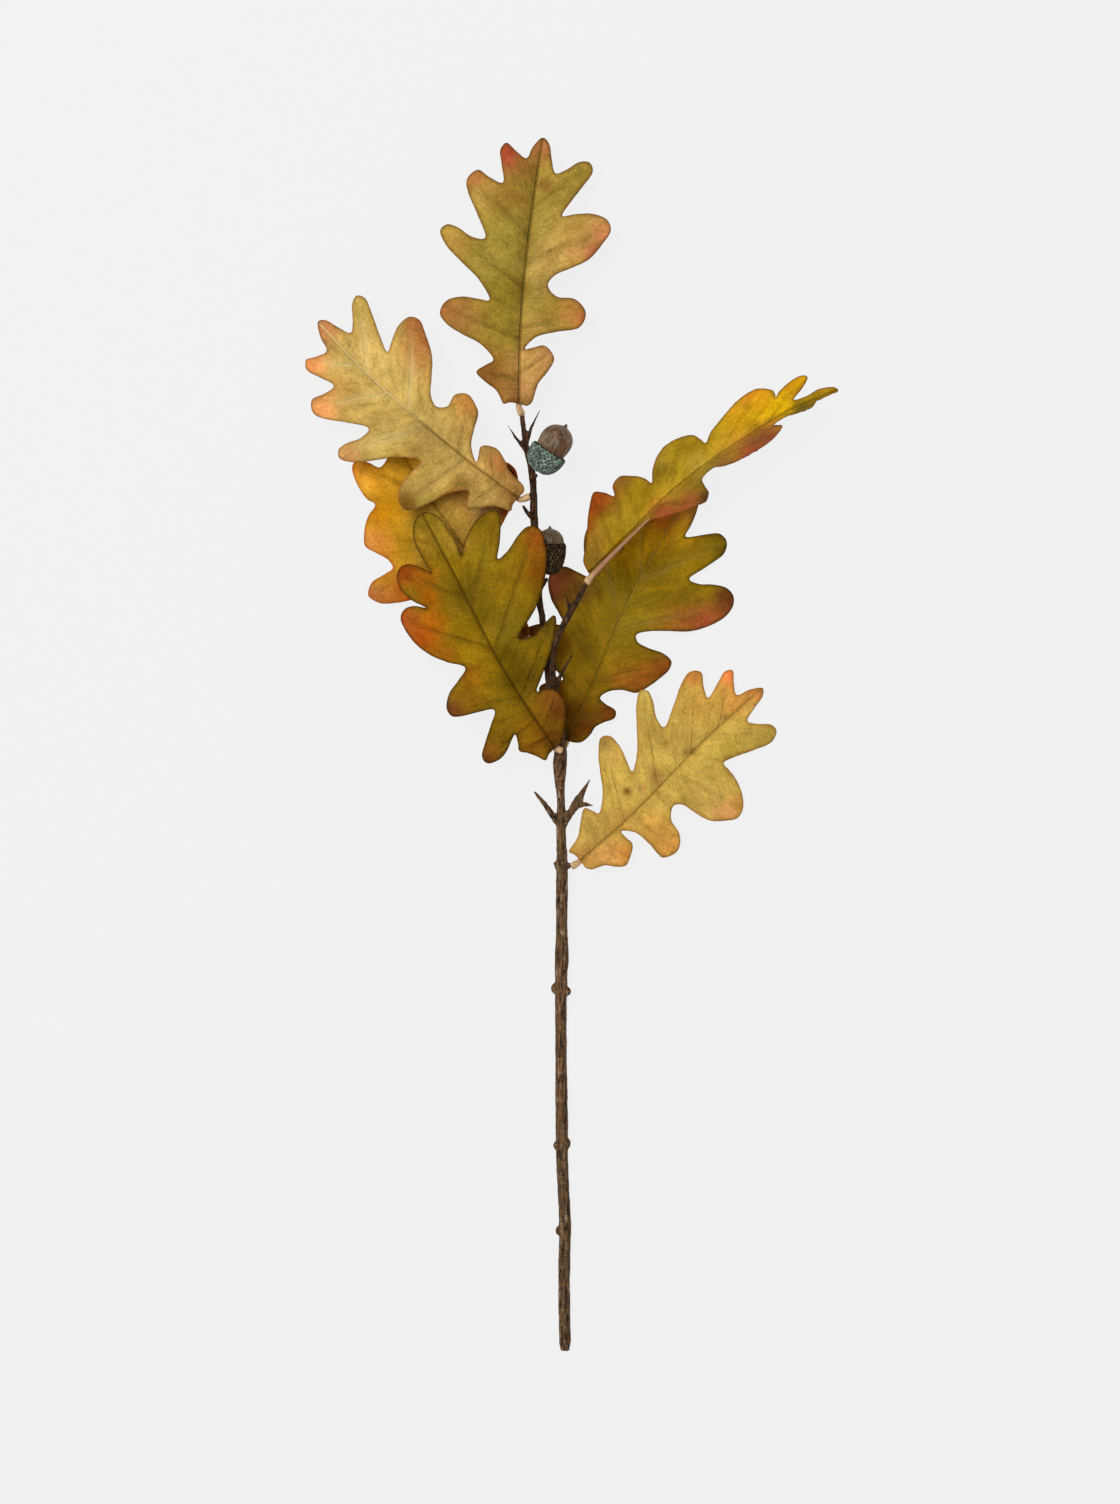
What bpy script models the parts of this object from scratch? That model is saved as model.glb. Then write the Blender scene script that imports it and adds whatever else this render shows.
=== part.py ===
"""An oak spray, lying on its back: a knobbly twig with seven lobed leaves and two acorns.

+Y runs from the cut end of the twig to its top, +X is to the right seen from above, and +Z is up.
The origin is at the bottom centre of the whole spray's bounding box.
Places inside this script are first given in millimetres from the centre of the twig's cut end.
"""

import math

import bmesh
import bpy
import numpy as np
from mathutils import Vector
from mathutils.geometry import delaunay_2d_cdt

# ---------------------------------------------------------------- driving dimensions
MM = 0.001
BLADE_THICKNESS = 0.5
# Mesh spacing along a blade's rim and inside it; veins shorter than LONG_VEIN arch less.
RIM_STEP = 4.6
INNER_STEP = 9.0
LONG_VEIN = 40.0
# The flat mesh's line of edges along the midrib starts this far above the base and ends this far below
# the top.
SPINE_START = 4.0
SPINE_END = 3.0
# How finely curves and vein fans are sampled, and the lengths below which points count as one, in mm.
CURVE_SAMPLES = 24
FAN_SAMPLES = 40
TINY = 1e-5
WELD = 0.03
# The triangulation's choice to keep only what lies inside the outline.
INSIDE_ONLY = 1

# ---------------------------------------------------------------- leaf patterns
# A pattern is a leaf laid flat: (across, along) in mm, midrib on across = 0, base at along = 0.
# Each lobe: where its vein leaves the midrib, its tip, and its edge from the notch above to the notch below.
NARROW = {
    "apex_root": 112,
    "apex_edge": [(-6.4, 123.5), (-4.2, 130), (0, 135.7), (3.4, 132.5), (5.5, 125)],
    "left": [
        (104, (-18, 131.5), [(-12, 127), (-18, 131.8), (-20.6, 128), (-19, 120.5)]),
        (84, (-33, 113.5), [(-17, 110.5), (-24, 113), (-31, 117), (-36, 112), (-34.5, 105), (-28.5, 94)]),
        (58, (-45, 85), [
            (-22.8, 81.5), (-30, 82), (-38, 86.5), (-44, 87.8), (-47.2, 84.5), (-43, 77), (-34, 69),
            (-24, 60.5),
        ]),
        (33, (-42.5, 45), [
            (-17.6, 50.8), (-24, 51.3), (-33, 52), (-41, 49.5), (-44, 43.5), (-41, 39), (-31, 33.5),
            (-21, 29),
        ]),
        (13, (-23, 15.5), [(-14.2, 21.8), (-18, 19.5), (-23.4, 15.6), (-18, 11), (-12, 7)]),
        (3, (-7.5, 0.6), [(-9.5, 3.5), (-7.5, 0.4), (-4.5, 1.4)]),
    ],
    "right": [
        (98, (24, 123), [
            (8.5, 117), (13, 119.5), (19.5, 125.3), (24, 125.5), (26, 121.5), (22, 112.5), (17.5, 104),
        ]),
        (70, (35, 95.5), [
            (14.2, 96), (20, 98), (28, 100), (35, 98.3), (37.2, 93.5), (34, 86), (28, 76.5), (20, 70.5),
            (13.5, 66),
        ]),
        (38, (27, 48), [(10.8, 60.5), (15, 55.5), (23, 55.3), (28.2, 49), (25.3, 42), (15, 38), (7, 34.5)]),
        (16, (12.5, 27.5), [(2, 28), (6, 29.4), (10.5, 31), (14.2, 26), (12, 19), (8.3, 12.5)]),
        (3, (5, 0.6), [(7.2, 7), (6.6, 3), (4.4, 0.4), (1.5, 0.8)]),
    ],
}
BROAD = {
    "apex_root": 94,
    "apex_edge": [
        (-10, 105), (-10.6, 113), (-9.4, 125), (-4.5, 131.4), (1, 132.2), (5.6, 128), (7.8, 118),
        (7.9, 110),
    ],
    "left": [
        (84, (-23.5, 113.5), [
            (-12.5, 108.5), (-17, 113.3), (-22, 115), (-26.5, 112), (-28, 105.5), (-25.5, 98),
        ]),
        (58, (-35, 91), [
            (-20.5, 91), (-26, 95), (-31, 96), (-35.3, 93.5), (-36.6, 87), (-35.5, 79), (-31, 70),
            (-25, 63),
        ]),
        (30, (-38.3, 41), [
            (-18, 56.3), (-25, 52.4), (-33, 49), (-38.4, 43), (-38, 38.8), (-33, 36.3), (-24, 34),
        ]),
        (16, (-35, 11), [
            (-16, 31), (-22, 25.5), (-30, 19), (-35.5, 13.5), (-35, 9), (-29, 8), (-22, 10.5),
        ]),
        (5, (-17, 6.5), [(-13.6, 15.4), (-15.5, 10.5), (-18, 6.6), (-14.5, 4), (-10.5, 0.5)]),
        (1.5, (-7, -3), [(-6.8, -3.4), (-4.2, -1.6)]),
    ],
    "right": [
        (80, (30, 114.5), [
            (7, 104.5), (12, 109.5), (18, 114), (26, 116.5), (32.4, 114), (31, 108), (27, 101),
        ]),
        (56, (44.5, 97), [
            (22, 94), (28, 95), (36, 99), (42, 100.3), (46.4, 96.5), (44.5, 87), (38, 76), (30, 67),
            (21, 61),
        ]),
        (30, (31.5, 55), [(13, 56), (19, 53), (26, 54.8), (32.5, 56), (29, 48), (20, 39), (12, 32.5)]),
        (10, (15.5, 20.5), [(7.5, 28.3), (12, 26.3), (16, 22), (16.5, 15), (12, 8)]),
        (2, (4, 1), [(7, 3), (3, 0.3)]),
    ],
}
WIDE = {
    "apex_root": 104,
    "apex_edge": [(-8, 121), (-8.5, 130), (-6, 138), (0, 142), (5, 139), (7.5, 132), (8.6, 125)],
    "left": [
        (90, (-20, 127), [(-10, 118), (-15, 124.5), (-20, 128), (-24, 123), (-24, 114), (-19, 104)]),
        (66, (-33, 104), [(-16, 97), (-22, 102), (-29, 107), (-34, 105), (-36, 98), (-32, 88), (-25, 81)]),
        (38, (-41.5, 68), [(-22.5, 78), (-30, 77.5), (-38, 76.6), (-42, 69), (-37, 60), (-29.5, 54.5)]),
        (22, (-42, 39.5), [
            (-25.5, 51), (-33, 48), (-38.5, 44.5), (-42.5, 39.5), (-38.5, 35), (-28, 31.5), (-20, 29),
        ]),
        (8, (-23, 17), [(-14.5, 26.5), (-19, 23.5), (-23.5, 18), (-20, 13), (-12, 8.5)]),
        (2, (-6, 1.5), [(-6.5, 3), (-3, 0.6)]),
    ],
    "right": [
        (88, (28, 126), [
            (9, 118.5), (13, 121), (18, 125), (23, 128), (28, 126.5), (30, 120.5), (27.5, 114), (24.5, 108),
        ]),
        (60, (46.5, 100), [
            (21, 100.5), (26.5, 100.8), (33, 104), (40, 105.8), (45, 104), (47.2, 99.2), (46, 92.5),
            (41, 85),
            (33.5, 78), (23.5, 72.7), (14.7, 67.7),
        ]),
        (34, (32, 58), [
            (10.3, 63.5), (12, 60.8), (17.5, 60.5), (26.5, 61.8), (31.5, 60.3), (32.3, 56), (30, 50.5),
            (26.3, 44),
            (22, 38.3), (14.5, 35.8), (8.4, 31.5),
        ]),
        (12, (16.5, 24), [(6.2, 27), (10, 25.8), (16, 25.4), (17, 22), (13, 17.5), (10, 13)]),
        (2, (6, 1.5), [(9.6, 9), (7.2, 3.3), (2.8, 0.8)]),
    ],
}
CURLED = {
    "apex_root": 130,
    "apex_edge": [
        (-7, 133), (-5.5, 140), (-6.5, 147), (-3.5, 153.5), (0, 155), (3, 154), (4.5, 148), (5, 143),
    ],
    "left": [
        (116, (-20.5, 145), [(-12.5, 140), (-19, 145.8), (-22, 141), (-19, 130.5)]),
        (88, (-28.5, 122), [(-15.5, 127), (-22, 128.5), (-29, 124), (-30.5, 115), (-26, 103), (-18.5, 91)]),
        (58, (-31, 77), [
            (-13, 86), (-18, 85.5), (-26, 84), (-32, 77.5), (-33, 70), (-30, 63.5), (-22, 57),
        ]),
        (36, (-40, 44), [(-15.5, 53.5), (-23, 52.5), (-33, 49), (-40, 43.5), (-39, 38)]),
        (18, (-43, 27), [(-31, 35), (-39, 32), (-43.5, 27.5), (-37, 20), (-24, 12.5), (-13, 6.5)]),
        (3, (-5, 1), [(-5, 1.2)]),
    ],
    "right": [
        (122, (14, 139), [(10, 141.5), (14.5, 139), (12.5, 132), (6, 125.5)]),
        (84, (23, 116), [
            (6, 117.5), (12, 119.5), (18, 121), (24, 117), (26, 106), (22.5, 96), (15, 87), (8, 81),
        ]),
        (48, (34, 70), [
            (9, 74.5), (18, 73.5), (29, 73.5), (35, 70), (33, 61), (27, 52), (17, 45), (9, 41),
        ]),
        (20, (24, 28), [(9, 35), (16, 34.5), (24, 31), (25, 25), (18, 15), (10, 8)]),
        (3, (5, 1), [(5, 1.2)]),
    ],
}
REAR = {
    "apex_root": 112,
    "apex_edge": [(-8, 117), (-6, 126), (0, 131), (6, 127), (7, 118)],
    "left": [
        (88, (-31, 124.5), [(-17, 114), (-22, 120), (-27.5, 124.5), (-32, 123), (-34.5, 116), (-34, 105)]),
        (60, (-47.5, 86), [(-31, 100), (-38, 97), (-44.5, 91), (-48, 85), (-45, 79), (-41, 72)]),
        (38, (-61, 61.5), [
            (-41, 67), (-48, 66.5), (-56, 66.5), (-61.5, 62), (-59, 56.5), (-50, 51.5), (-36, 46),
        ]),
        (16, (-33, 28), [(-20, 37), (-27, 34.5), (-33, 30), (-32, 24), (-23, 16), (-12, 8)]),
        (3, (-5, 1), [(-5, 1.2)]),
    ],
    "right": [
        (92, (26, 108), [(10, 104), (16, 108), (24, 110.5), (28, 106), (25, 97), (18, 90)]),
        (56, (39.5, 78), [
            (15, 84), (22, 83.5), (31, 83.5), (38, 81.5), (40, 76), (37, 69), (28, 61), (18, 54),
        ]),
        (22, (17, 28), [(8, 45), (11, 38), (15, 33), (18, 28), (15, 23), (9, 19)]),
        (3, (2, 1), [(5, 13), (2, 1.2)]),
    ],
}
PATTERNS = {"narrow": NARROW, "broad": BROAD, "wide": WIDE, "curled": CURLED, "rear": REAR}

# Each leaf is cut to a pattern and formed: its midrib and the tips of its lobes are pulled to these places,
# (across, along, height), measured from the leaf's base in its own heading.
# bow is how far each half arches between the midrib and the lobe tips.
LEAVES = {
    "leaf_top": {
        "pattern": "narrow", "base": (-20.9, 470.4), "heading": 4.6, "bow": (2.5, 2.5),
        "midrib": [(-1, 0.5, 26), (-3, 30, 29), (-3.5, 62, 29), (-2.5, 95, 24), (0, 135.7, 12)],
        "left": [(-18, 131.5, 10), (-33, 113, 16), (-45, 85, 22), (-42.5, 45, 25), (-23, 15.5, 27)],
        "right": [(24, 122.5, 12), (35, 94, 20), (27, 48, 28), (12.5, 27, 30)],
    },
    "leaf_upper_left": {
        "pattern": "narrow", "base": (-18.9, 423.1), "heading": -56.5, "bow": (2, 2),
        "midrib": [(0, 3, 26), (2, 38, 31), (4.5, 62, 33), (9, 96, 29), (18.5, 135.7, 17)],
        "left": [(-1.5, 130.5, 13), (-18, 113.5, 18), (-30.5, 89, 24), (-34.5, 49.5, 27), (-18, 22, 27)],
        "right": [(39.5, 124.5, 16), (45, 96, 22), (28, 51.5, 25), (13, 29, 24)],
    },
    "leaf_rear_left": {
        "pattern": "rear", "base": (-16.5, 355), "heading": -33.5, "bow": (2, 2),
        "midrib": [(0, 2, 15), (-1, 30, 14), (-2, 62, 13), (-2, 95, 11), (-1, 131, 6)],
        "left": [(-25.5, 123, 2.6), (-42, 86, 0.9), (-54.5, 63, 0.9), (-30, 27, 7)],
        "right": [(27, 108, 6), (40.5, 77.5, 6), (17, 27, 7)],
    },
    "leaf_front_left": {
        "pattern": "broad", "base": (-2.7, 303.3), "heading": -30.4, "bow": (2.5, 1.5),
        "midrib": [(-2, -0.5, 24), (-4, 30, 31), (-4, 60, 37), (-2, 88, 41), (0, 132, 39)],
        "left": [(-23.5, 113.5, 35), (-35, 91, 31), (-38.3, 41, 26), (-35, 11, 20), (-17, 6.5, 22)],
        "right": [(30, 114.5, 45), (44, 96.5, 48), (30, 55, 27.5), (12.5, 21.5, 29)],
    },
    "leaf_right": {
        "pattern": "wide", "base": (1.5, 304.5), "heading": 28.2, "bow": (1, 2),
        "midrib": [(0, 0.5, 9.5), (-2, 32, 9.5), (-5, 62, 10), (-6, 95, 9), (-4, 141.5, 4)],
        "left": [(-24, 127, 2), (-38, 104, 2.5), (-46, 68, 3.5), (-44, 39.5, 4), (-24, 17, 7)],
        "right": [(23.3, 126, 1.2), (40.8, 100, 0.8), (27.8, 58, 4), (15, 24, 7)],
    },
    "leaf_turned": {
        "pattern": "curled", "base": (11.8, 386.8), "heading": 53.6, "bow": (3, 0.5),
        "midrib": [
            (0, 1, 41), (-3, 20, 48), (-6, 42, 53), (-9, 58, 54), (-9, 80, 54), (-8, 105, 52),
            (-6, 130, 47), (0, 154, 42),
        ],
        "left": [(-15.5, 144.5, 42), (-24, 121, 33), (-27.5, 76, 31), (-30, 42.5, 26), (-31, 27, 31)],
        "right": [(-1, 138.5, 37), (-1, 117, 30), (5, 69, 26), (-3, 27, 26)],
    },
    "leaf_lower_right": {
        "pattern": "narrow", "base": (6.9, 243.6), "heading": 42.9, "bow": (2, 2),
        "midrib": [(0, 1.5, 13), (3, 30, 16), (4, 52, 16), (4.5, 86, 12), (8.3, 127.5, 3.5)],
        "left": [(-9, 123.5, 3.5), (-21.5, 109.5, 7), (-34, 85, 14), (-33, 54.5, 17), (-16, 22.5, 15)],
        "right": [(28, 114, 1.6), (41, 75.5, 1.4), (31, 38.5, 6), (16.5, 19.5, 9)],
    },
}


# ---------------------------------------------------------------- twig
# Every path is (x, y, z, radius) in mm, drawn with a ring every so many mm.
STEM_STEP = 5.0
SIDE_TWIG_STEP = 4.0
SPUR_STEP = 3.0
STEM = [
    (1, 0.3, 3.4, 2.4), (1, 1.8, 3.4, 3.2), (1, 6, 3.4, 3.3), (0.5, 35, 3.4, 3.2),
    (1, 65, 3.6, 3.3), (-0.5, 95, 3.7, 3.3), (-0.6, 115, 3.9, 3.4),
    (-1, 150, 4.4, 3.2), (-1, 185, 5.2, 3.4), (-0.6, 198, 5.6, 3.8), (-0.6, 210, 6, 3.2),
    (-0.5, 234, 7.4, 3.3),
    (-0.5, 247, 8.4, 3.0), (-1, 262, 9.8, 2.6), (-1, 275, 11.2, 2.4), (-1.5, 283, 12.2, 2.7),
    (-1.6, 291, 13.2, 3.7),
    (-1.2, 300, 14.6, 3.6), (-2.5, 312, 16.4, 3.1), (-5, 324, 18, 2.8), (-8, 344, 20, 2.2),
    (-10, 364, 21, 1.9),
    (-11.8, 375, 21.6, 2.0), (-12.5, 402, 22.8, 2.0), (-14.2, 413, 23.4, 2.3), (-14.8, 432, 24.2, 2.0),
    (-16, 442, 24.8, 2.1), (-18.5, 452, 25.3, 1.7), (-20.3, 466.5, 26, 1.5),
]
SIDE_TWIG = [
    (-3.6, 320, 17.2, 2.2), (-5, 332, 21.5, 1.9), (-4.9, 344, 28.5, 1.8), (-4.2, 352, 33.2, 1.9),
    (-1.4, 359, 36.5, 1.9),
    (3, 367.5, 39.5, 2.1), (7.4, 375, 42.2, 1.8), (11.2, 382.2, 44.4, 1.7),
]
SIDE_GROWTHS = [
    SIDE_TWIG,
    [(-0.5, 262, 9.8, 2.2), (-5, 267.5, 11, 1.9), (-9, 273.5, 12.5, 1.6), (-14.5, 280, 13.5, 0.8)],
    [
        (-0.5, 262, 9.8, 2.2), (3.5, 269, 11, 2.2), (7.5, 275, 12.5, 2.8), (10, 280, 14, 1.5),
        (13.5, 286, 15, 0.6),
    ],
    [(6.5, 273, 12.5, 2.2), (11, 273.5, 15.5, 1.5), (15, 272.8, 18, 0.6)],
    [(-0.5, 243, 8, 2.6), (2.4, 242.8, 9.8, 2.0), (3.8, 242.9, 10.5, 1.7)],
    [(-0.5, 244, 8, 2.4), (-4.5, 242.8, 8.6, 1.9)],
    [(-4, 330, 20.5, 1.7), (-1, 338, 25, 1.3), (5.5, 349, 28, 0.6)],
    [(3.4, 369, 39.8, 1.5), (2.2, 374, 41.5, 0.9), (0, 380.5, 44, 0.5)],
    [(-18, 449, 25.2, 1.8), (-22.5, 454, 27, 1.1), (-27.3, 461.3, 29, 0.5)],
    [(-18.5, 452, 25.2, 1.7), (-15.8, 460, 27, 1.1), (-11.4, 469, 29, 0.5)],
    [(-14, 416, 23.6, 2.0), (-17, 417.3, 26, 1.6), (-20, 421.8, 27.4, 0.9)],
    [(-14.8, 427, 24, 2.0), (-16.4, 426.4, 25.3, 1.7)],
    [(-15.2, 437, 24.6, 1.9), (-14.6, 435, 28.5, 1.5), (-13.2, 436.7, 31.9, 1.3)],
    [(-12.2, 379.2, 22, 1.9), (-9.7, 383, 26.5, 1.4), (-7.9, 385.4, 29.6, 1.3)],
]
SCAR_STRETCH = 1.5
BUD_SCARS = [
    (-4.4, 181.5, 5.2, 1.9), (2.6, 180, 5.4, 1.7), (-3.4, 103, 3.9, 1.7), (2.4, 104, 4, 1.8),
    (-2.2, 60.5, 4, 1.8),
]

# The moulded stalk under each blade: (length, (aside, up) from the midrib, where its sleeve starts).
SLEEVE_RADIUS = 1.9
RIB_RADII = (1.7, 1.1, 0.5)
RIB_STRIDE = 3
STALKS = {
    "leaf_top": (50, (0, -2.2), (-20.7, 467.6, 25)),
    "leaf_upper_left": (50, (0, -2.2), (-17.6, 425.9, 25)),
    "leaf_rear_left": (44, (0, -2.2), (-14.6, 353.5, 14.5)),
    "leaf_front_left": (50, (0, -2.2), (-1.6, 300.6, 21)),
    "leaf_right": (50, (0, -2.3), (0.6, 302.8, 7.8)),
    "leaf_turned": (44, (1.9, 3.0), (12.1, 383.7, 45.5)),
    "leaf_lower_right": (50, (0, -2.2), (5.2, 242.9, 11.2)),
}

# ---------------------------------------------------------------- acorns
# Profiles are (radius, along the axis) for a cup one unit in radius; the cup's foot is at 0.
TURNED_SIDES = 28
CUP_PROFILE = [
    (0, 0), (0.32, 0.03), (0.62, 0.16), (0.85, 0.4), (0.97, 0.72), (1, 0.98), (0.98, 1.12), (0.92, 1.15),
    (0.88, 1.08), (0.84, 0.75), (0.7, 0.4), (0.4, 0.2), (0, 0.14),
]
NUT_PROFILE = [
    (0, 0), (0.3, 0.08), (0.5, 0.32), (0.64, 0.6), (0.74, 0.9), (0.8, 1.2), (0.84, 1.5), (0.82, 1.8),
    (0.72, 2.06), (0.5, 2.3), (0.22, 2.43), (0.1, 2.48), (0.07, 2.57), (0.03, 2.62), (0, 2.63),
]
NUT_SEAT = 0.2
ACORNS = {
    "upper": {"foot": (-13.2, 438.2, 32.5), "axis": (0.54, 0.83, 0.1), "size": 9.8, "depth": 1.1},
    "lower": {"foot": (-6.5, 386.9, 30.6), "axis": (0, 1, 0.06), "size": 8.3, "depth": 1.66},
}

BARK_COLOUR = (0.075, 0.045, 0.035)
STALK_COLOUR = (0.55, 0.42, 0.25)
CUP_COLOUR = (0.12, 0.12, 0.09)
NUT_COLOUR = (0.18, 0.12, 0.07)
LEAF_COLOURS = {
    "leaf_top": (0.36, 0.25, 0.06),
    "leaf_upper_left": (0.5, 0.35, 0.12),
    "leaf_rear_left": (0.6, 0.3, 0.03),
    "leaf_front_left": (0.28, 0.18, 0.02),
    "leaf_right": (0.27, 0.16, 0.02),
    "leaf_turned": (0.42, 0.33, 0.05),
    "leaf_lower_right": (0.5, 0.37, 0.1),
}


def clear_scene():
    for obj in list(bpy.data.objects):
        bpy.data.objects.remove(obj, do_unlink=True)


def smooth_path(points, step, closed=False):
    """Points every `step` mm along a centripetal Catmull-Rom curve through `points`."""
    pts = np.asarray(points, float)
    if closed:
        ring = np.vstack([pts[-1], pts, pts[0], pts[1]])
    else:
        ring = np.vstack([2 * pts[0] - pts[1], pts, 2 * pts[-1] - pts[-2]])
    dense = []
    for p0, p1, p2, p3 in zip(ring, ring[1:], ring[2:], ring[3:]):
        gaps = [np.linalg.norm(b - a) ** 0.5 for a, b in ((p0, p1), (p1, p2), (p2, p3))]
        knots = np.cumsum([0.0] + [max(gap, TINY) for gap in gaps])
        for u in np.linspace(knots[1], knots[2], CURVE_SAMPLES, endpoint=False):
            a = [(knots[i + 1] - u) / (knots[i + 1] - knots[i]) for i in range(3)]
            a1, a2, a3 = (w * p + (1 - w) * q for w, p, q in zip(a, (p0, p1, p2), (p1, p2, p3)))
            w = (knots[2] - u) / (knots[2] - knots[0])
            b1 = w * a1 + (1 - w) * a2
            w = (knots[3] - u) / (knots[3] - knots[1])
            b2 = w * a2 + (1 - w) * a3
            w = (knots[2] - u) / (knots[2] - knots[1])
            dense.append(w * b1 + (1 - w) * b2)
    dense.append(pts[0] if closed else pts[-1])
    dense = np.array(dense)
    length = np.concatenate([[0], np.cumsum(np.linalg.norm(np.diff(dense, axis=0), axis=1))])
    count = max(2, round(length[-1] / step) + 1)
    at = np.linspace(0, length[-1], count)[: -1 if closed else None]
    return np.column_stack([np.interp(at, length, dense[:, k]) for k in range(pts.shape[1])])


def outline_of(pattern):
    """The pattern's edge, once round: over the apex, down the right side and up the left."""
    edge = list(pattern["apex_edge"])
    for _, _, points in pattern["right"]:
        edge += points
    for _, _, points in reversed(pattern["left"]):
        edge += points[::-1]
    return edge


def flat_blade(pattern, rim_step, inner_step):
    """(points, triangles) of the flat pattern, with the midrib as a line of edges."""
    rim = smooth_path(outline_of(pattern), rim_step, closed=True)
    top = max(y for _, y in pattern["apex_edge"])
    spine = [(0.0, y) for y in np.arange(SPINE_START, top - SPINE_END, inner_step * 0.8)]
    inner = []
    row_gap = inner_step * math.sqrt(3) / 2
    low, high = rim.min(0), rim.max(0)
    for j, y in enumerate(np.arange(low[1], high[1], row_gap)):
        for x in np.arange(low[0] + (j % 2) * inner_step / 2, high[0], inner_step):
            clear_of_rim = np.hypot(rim[:, 0] - x, rim[:, 1] - y).min() > 0.6 * inner_step
            if clear_of_rim and abs(x) > 0.45 * inner_step:
                inner.append((x, y))
    points = [Vector(p) for p in rim] + [Vector(p) for p in spine] + [Vector(p) for p in inner]
    n = len(rim)
    spine_edges = [(n + i, n + i + 1) for i in range(len(spine) - 1)]
    verts, _, faces, *_ = delaunay_2d_cdt(points, spine_edges, [list(range(n))], INSIDE_ONLY, TINY)
    used = sorted({corner for face in faces for corner in face})
    renumber = {old: new for new, old in enumerate(used)}
    return np.array([tuple(verts[i]) for i in used]), [tuple(renumber[i] for i in face) for face in faces]


def fan_of(pattern, side):
    """The side's veins, from the apex down: where each leaves the midrib and where its tip is."""
    apex = (0.0, max(y for _, y in pattern["apex_edge"]))
    roots = [pattern["apex_root"]] + [root for root, _, _ in pattern[side]]
    tips = [apex] + [tip for _, tip, _ in pattern[side]]
    return np.array(roots, float), np.array(tips, float)


def vein_coordinates(points, roots, tips):
    """For each flat point: the vein it is beside (0 at the apex) and how far out along it (1 at the tip)."""
    w = np.linspace(0, len(roots) - 1, FAN_SAMPLES * (len(roots) - 1) + 1)
    index = np.arange(len(roots))
    start = np.column_stack([np.zeros(len(w)), np.interp(w, index, roots)])
    along = np.column_stack([np.interp(w, index, tips[:, 0]), np.interp(w, index, tips[:, 1])]) - start
    size = np.linalg.norm(along, axis=1)
    offset = points[:, None, :] - start[None]
    across = (along[None, :, 0] * offset[..., 1] - along[None, :, 1] * offset[..., 0]) / size
    out = (offset * along).sum(2) / size**2
    behind = out < -0.02
    best = np.where(behind, np.inf, np.abs(across)).argmin(1)
    return w[best], np.clip(out[np.arange(len(points)), best], 0, None)


def spread(values, w):
    """Values given at whole numbers, read smoothly at w."""
    values = np.asarray(values, float)
    padded = np.vstack([2 * values[0] - values[1], values, 2 * values[-1] - values[-2]])
    k = np.clip(np.floor(w).astype(int), 0, len(values) - 2)
    u = (w - k)[:, None]
    p0, p1, p2, p3 = (padded[k + i] for i in range(4))
    bend = 2 * p0 - 5 * p1 + 4 * p2 - p3
    twist = 3 * p1 - p0 - 3 * p2 + p3
    return p1 + 0.5 * ((p2 - p0) * u + bend * u**2 + twist * u**3)


def formed(leaf, flat):
    """The flat points where the formed leaf holds them: (across, along, height) in its heading, in mm."""
    pattern = PATTERNS[leaf["pattern"]]
    midrib = smooth_path(leaf["midrib"], 1.0)
    reach = np.linspace(0, 1, len(midrib))
    length = max(y for _, y in pattern["apex_edge"])

    def on_midrib(along):
        share = np.clip(np.asarray(along) / length, 0, 1)
        return np.column_stack([np.interp(share, reach, midrib[:, k]) for k in range(3)])

    result = np.zeros((len(flat), 3))
    for side, bow in zip(("left", "right"), leaf["bow"]):
        mine = flat[:, 0] >= 0 if side == "right" else flat[:, 0] < 0
        roots, tips = fan_of(pattern, side)
        w, out = vein_coordinates(flat[mine], roots, tips)
        flat_roots = np.column_stack([np.zeros(len(roots)), roots, np.zeros(len(roots))])
        root_moves = on_midrib(roots) - flat_roots
        ear = on_midrib([roots[-1]])[0] - flat_roots[-1]
        held = [leaf["midrib"][-1]] + leaf[side]
        tip_moves = np.array([np.array(h) - (t[0], t[1], 0) for h, t in zip(held, tips)] + [ear])
        u = out[:, None]
        move = spread(root_moves, w) * (1 - u) + spread(tip_moves, w) * u
        vein_length = np.interp(w, np.arange(len(roots)), np.hypot(tips[:, 0], tips[:, 1] - roots))
        arch = bow * np.clip(vein_length / LONG_VEIN, 0, 1)
        move[:, 2] += arch * 4 * out * np.clip(1 - out, 0, 1)
        result[mine] = np.column_stack([flat[mine], np.zeros(mine.sum())]) + move
    return result


def placed(leaf, points):
    """From the leaf's own heading to the spray's frame, still in mm."""
    turn = math.radians(leaf["heading"])
    x = leaf["base"][0] + points[:, 0] * math.cos(turn) + points[:, 1] * math.sin(turn)
    y = leaf["base"][1] - points[:, 0] * math.sin(turn) + points[:, 1] * math.cos(turn)
    return np.column_stack([x, y, points[:, 2]])


def mesh_object(name, verts_mm, faces, collection):
    mesh = bpy.data.meshes.new(name)
    mesh.from_pydata([tuple(np.asarray(v) * MM) for v in verts_mm], [], faces)
    mesh.update()
    obj = bpy.data.objects.new(name, mesh)
    collection.objects.link(obj)
    return obj


def leaf_blade(name, collection):
    """The formed sheet, thickened evenly about itself."""
    leaf = LEAVES[name]
    flat, faces = flat_blade(PATTERNS[leaf["pattern"]], RIM_STEP, INNER_STEP)
    obj = mesh_object(name, placed(leaf, formed(leaf, flat)), faces, collection)
    thicken = obj.modifiers.new("Thickness", "SOLIDIFY")
    thicken.thickness = BLADE_THICKNESS * MM
    thicken.offset = 0
    return obj


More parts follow.
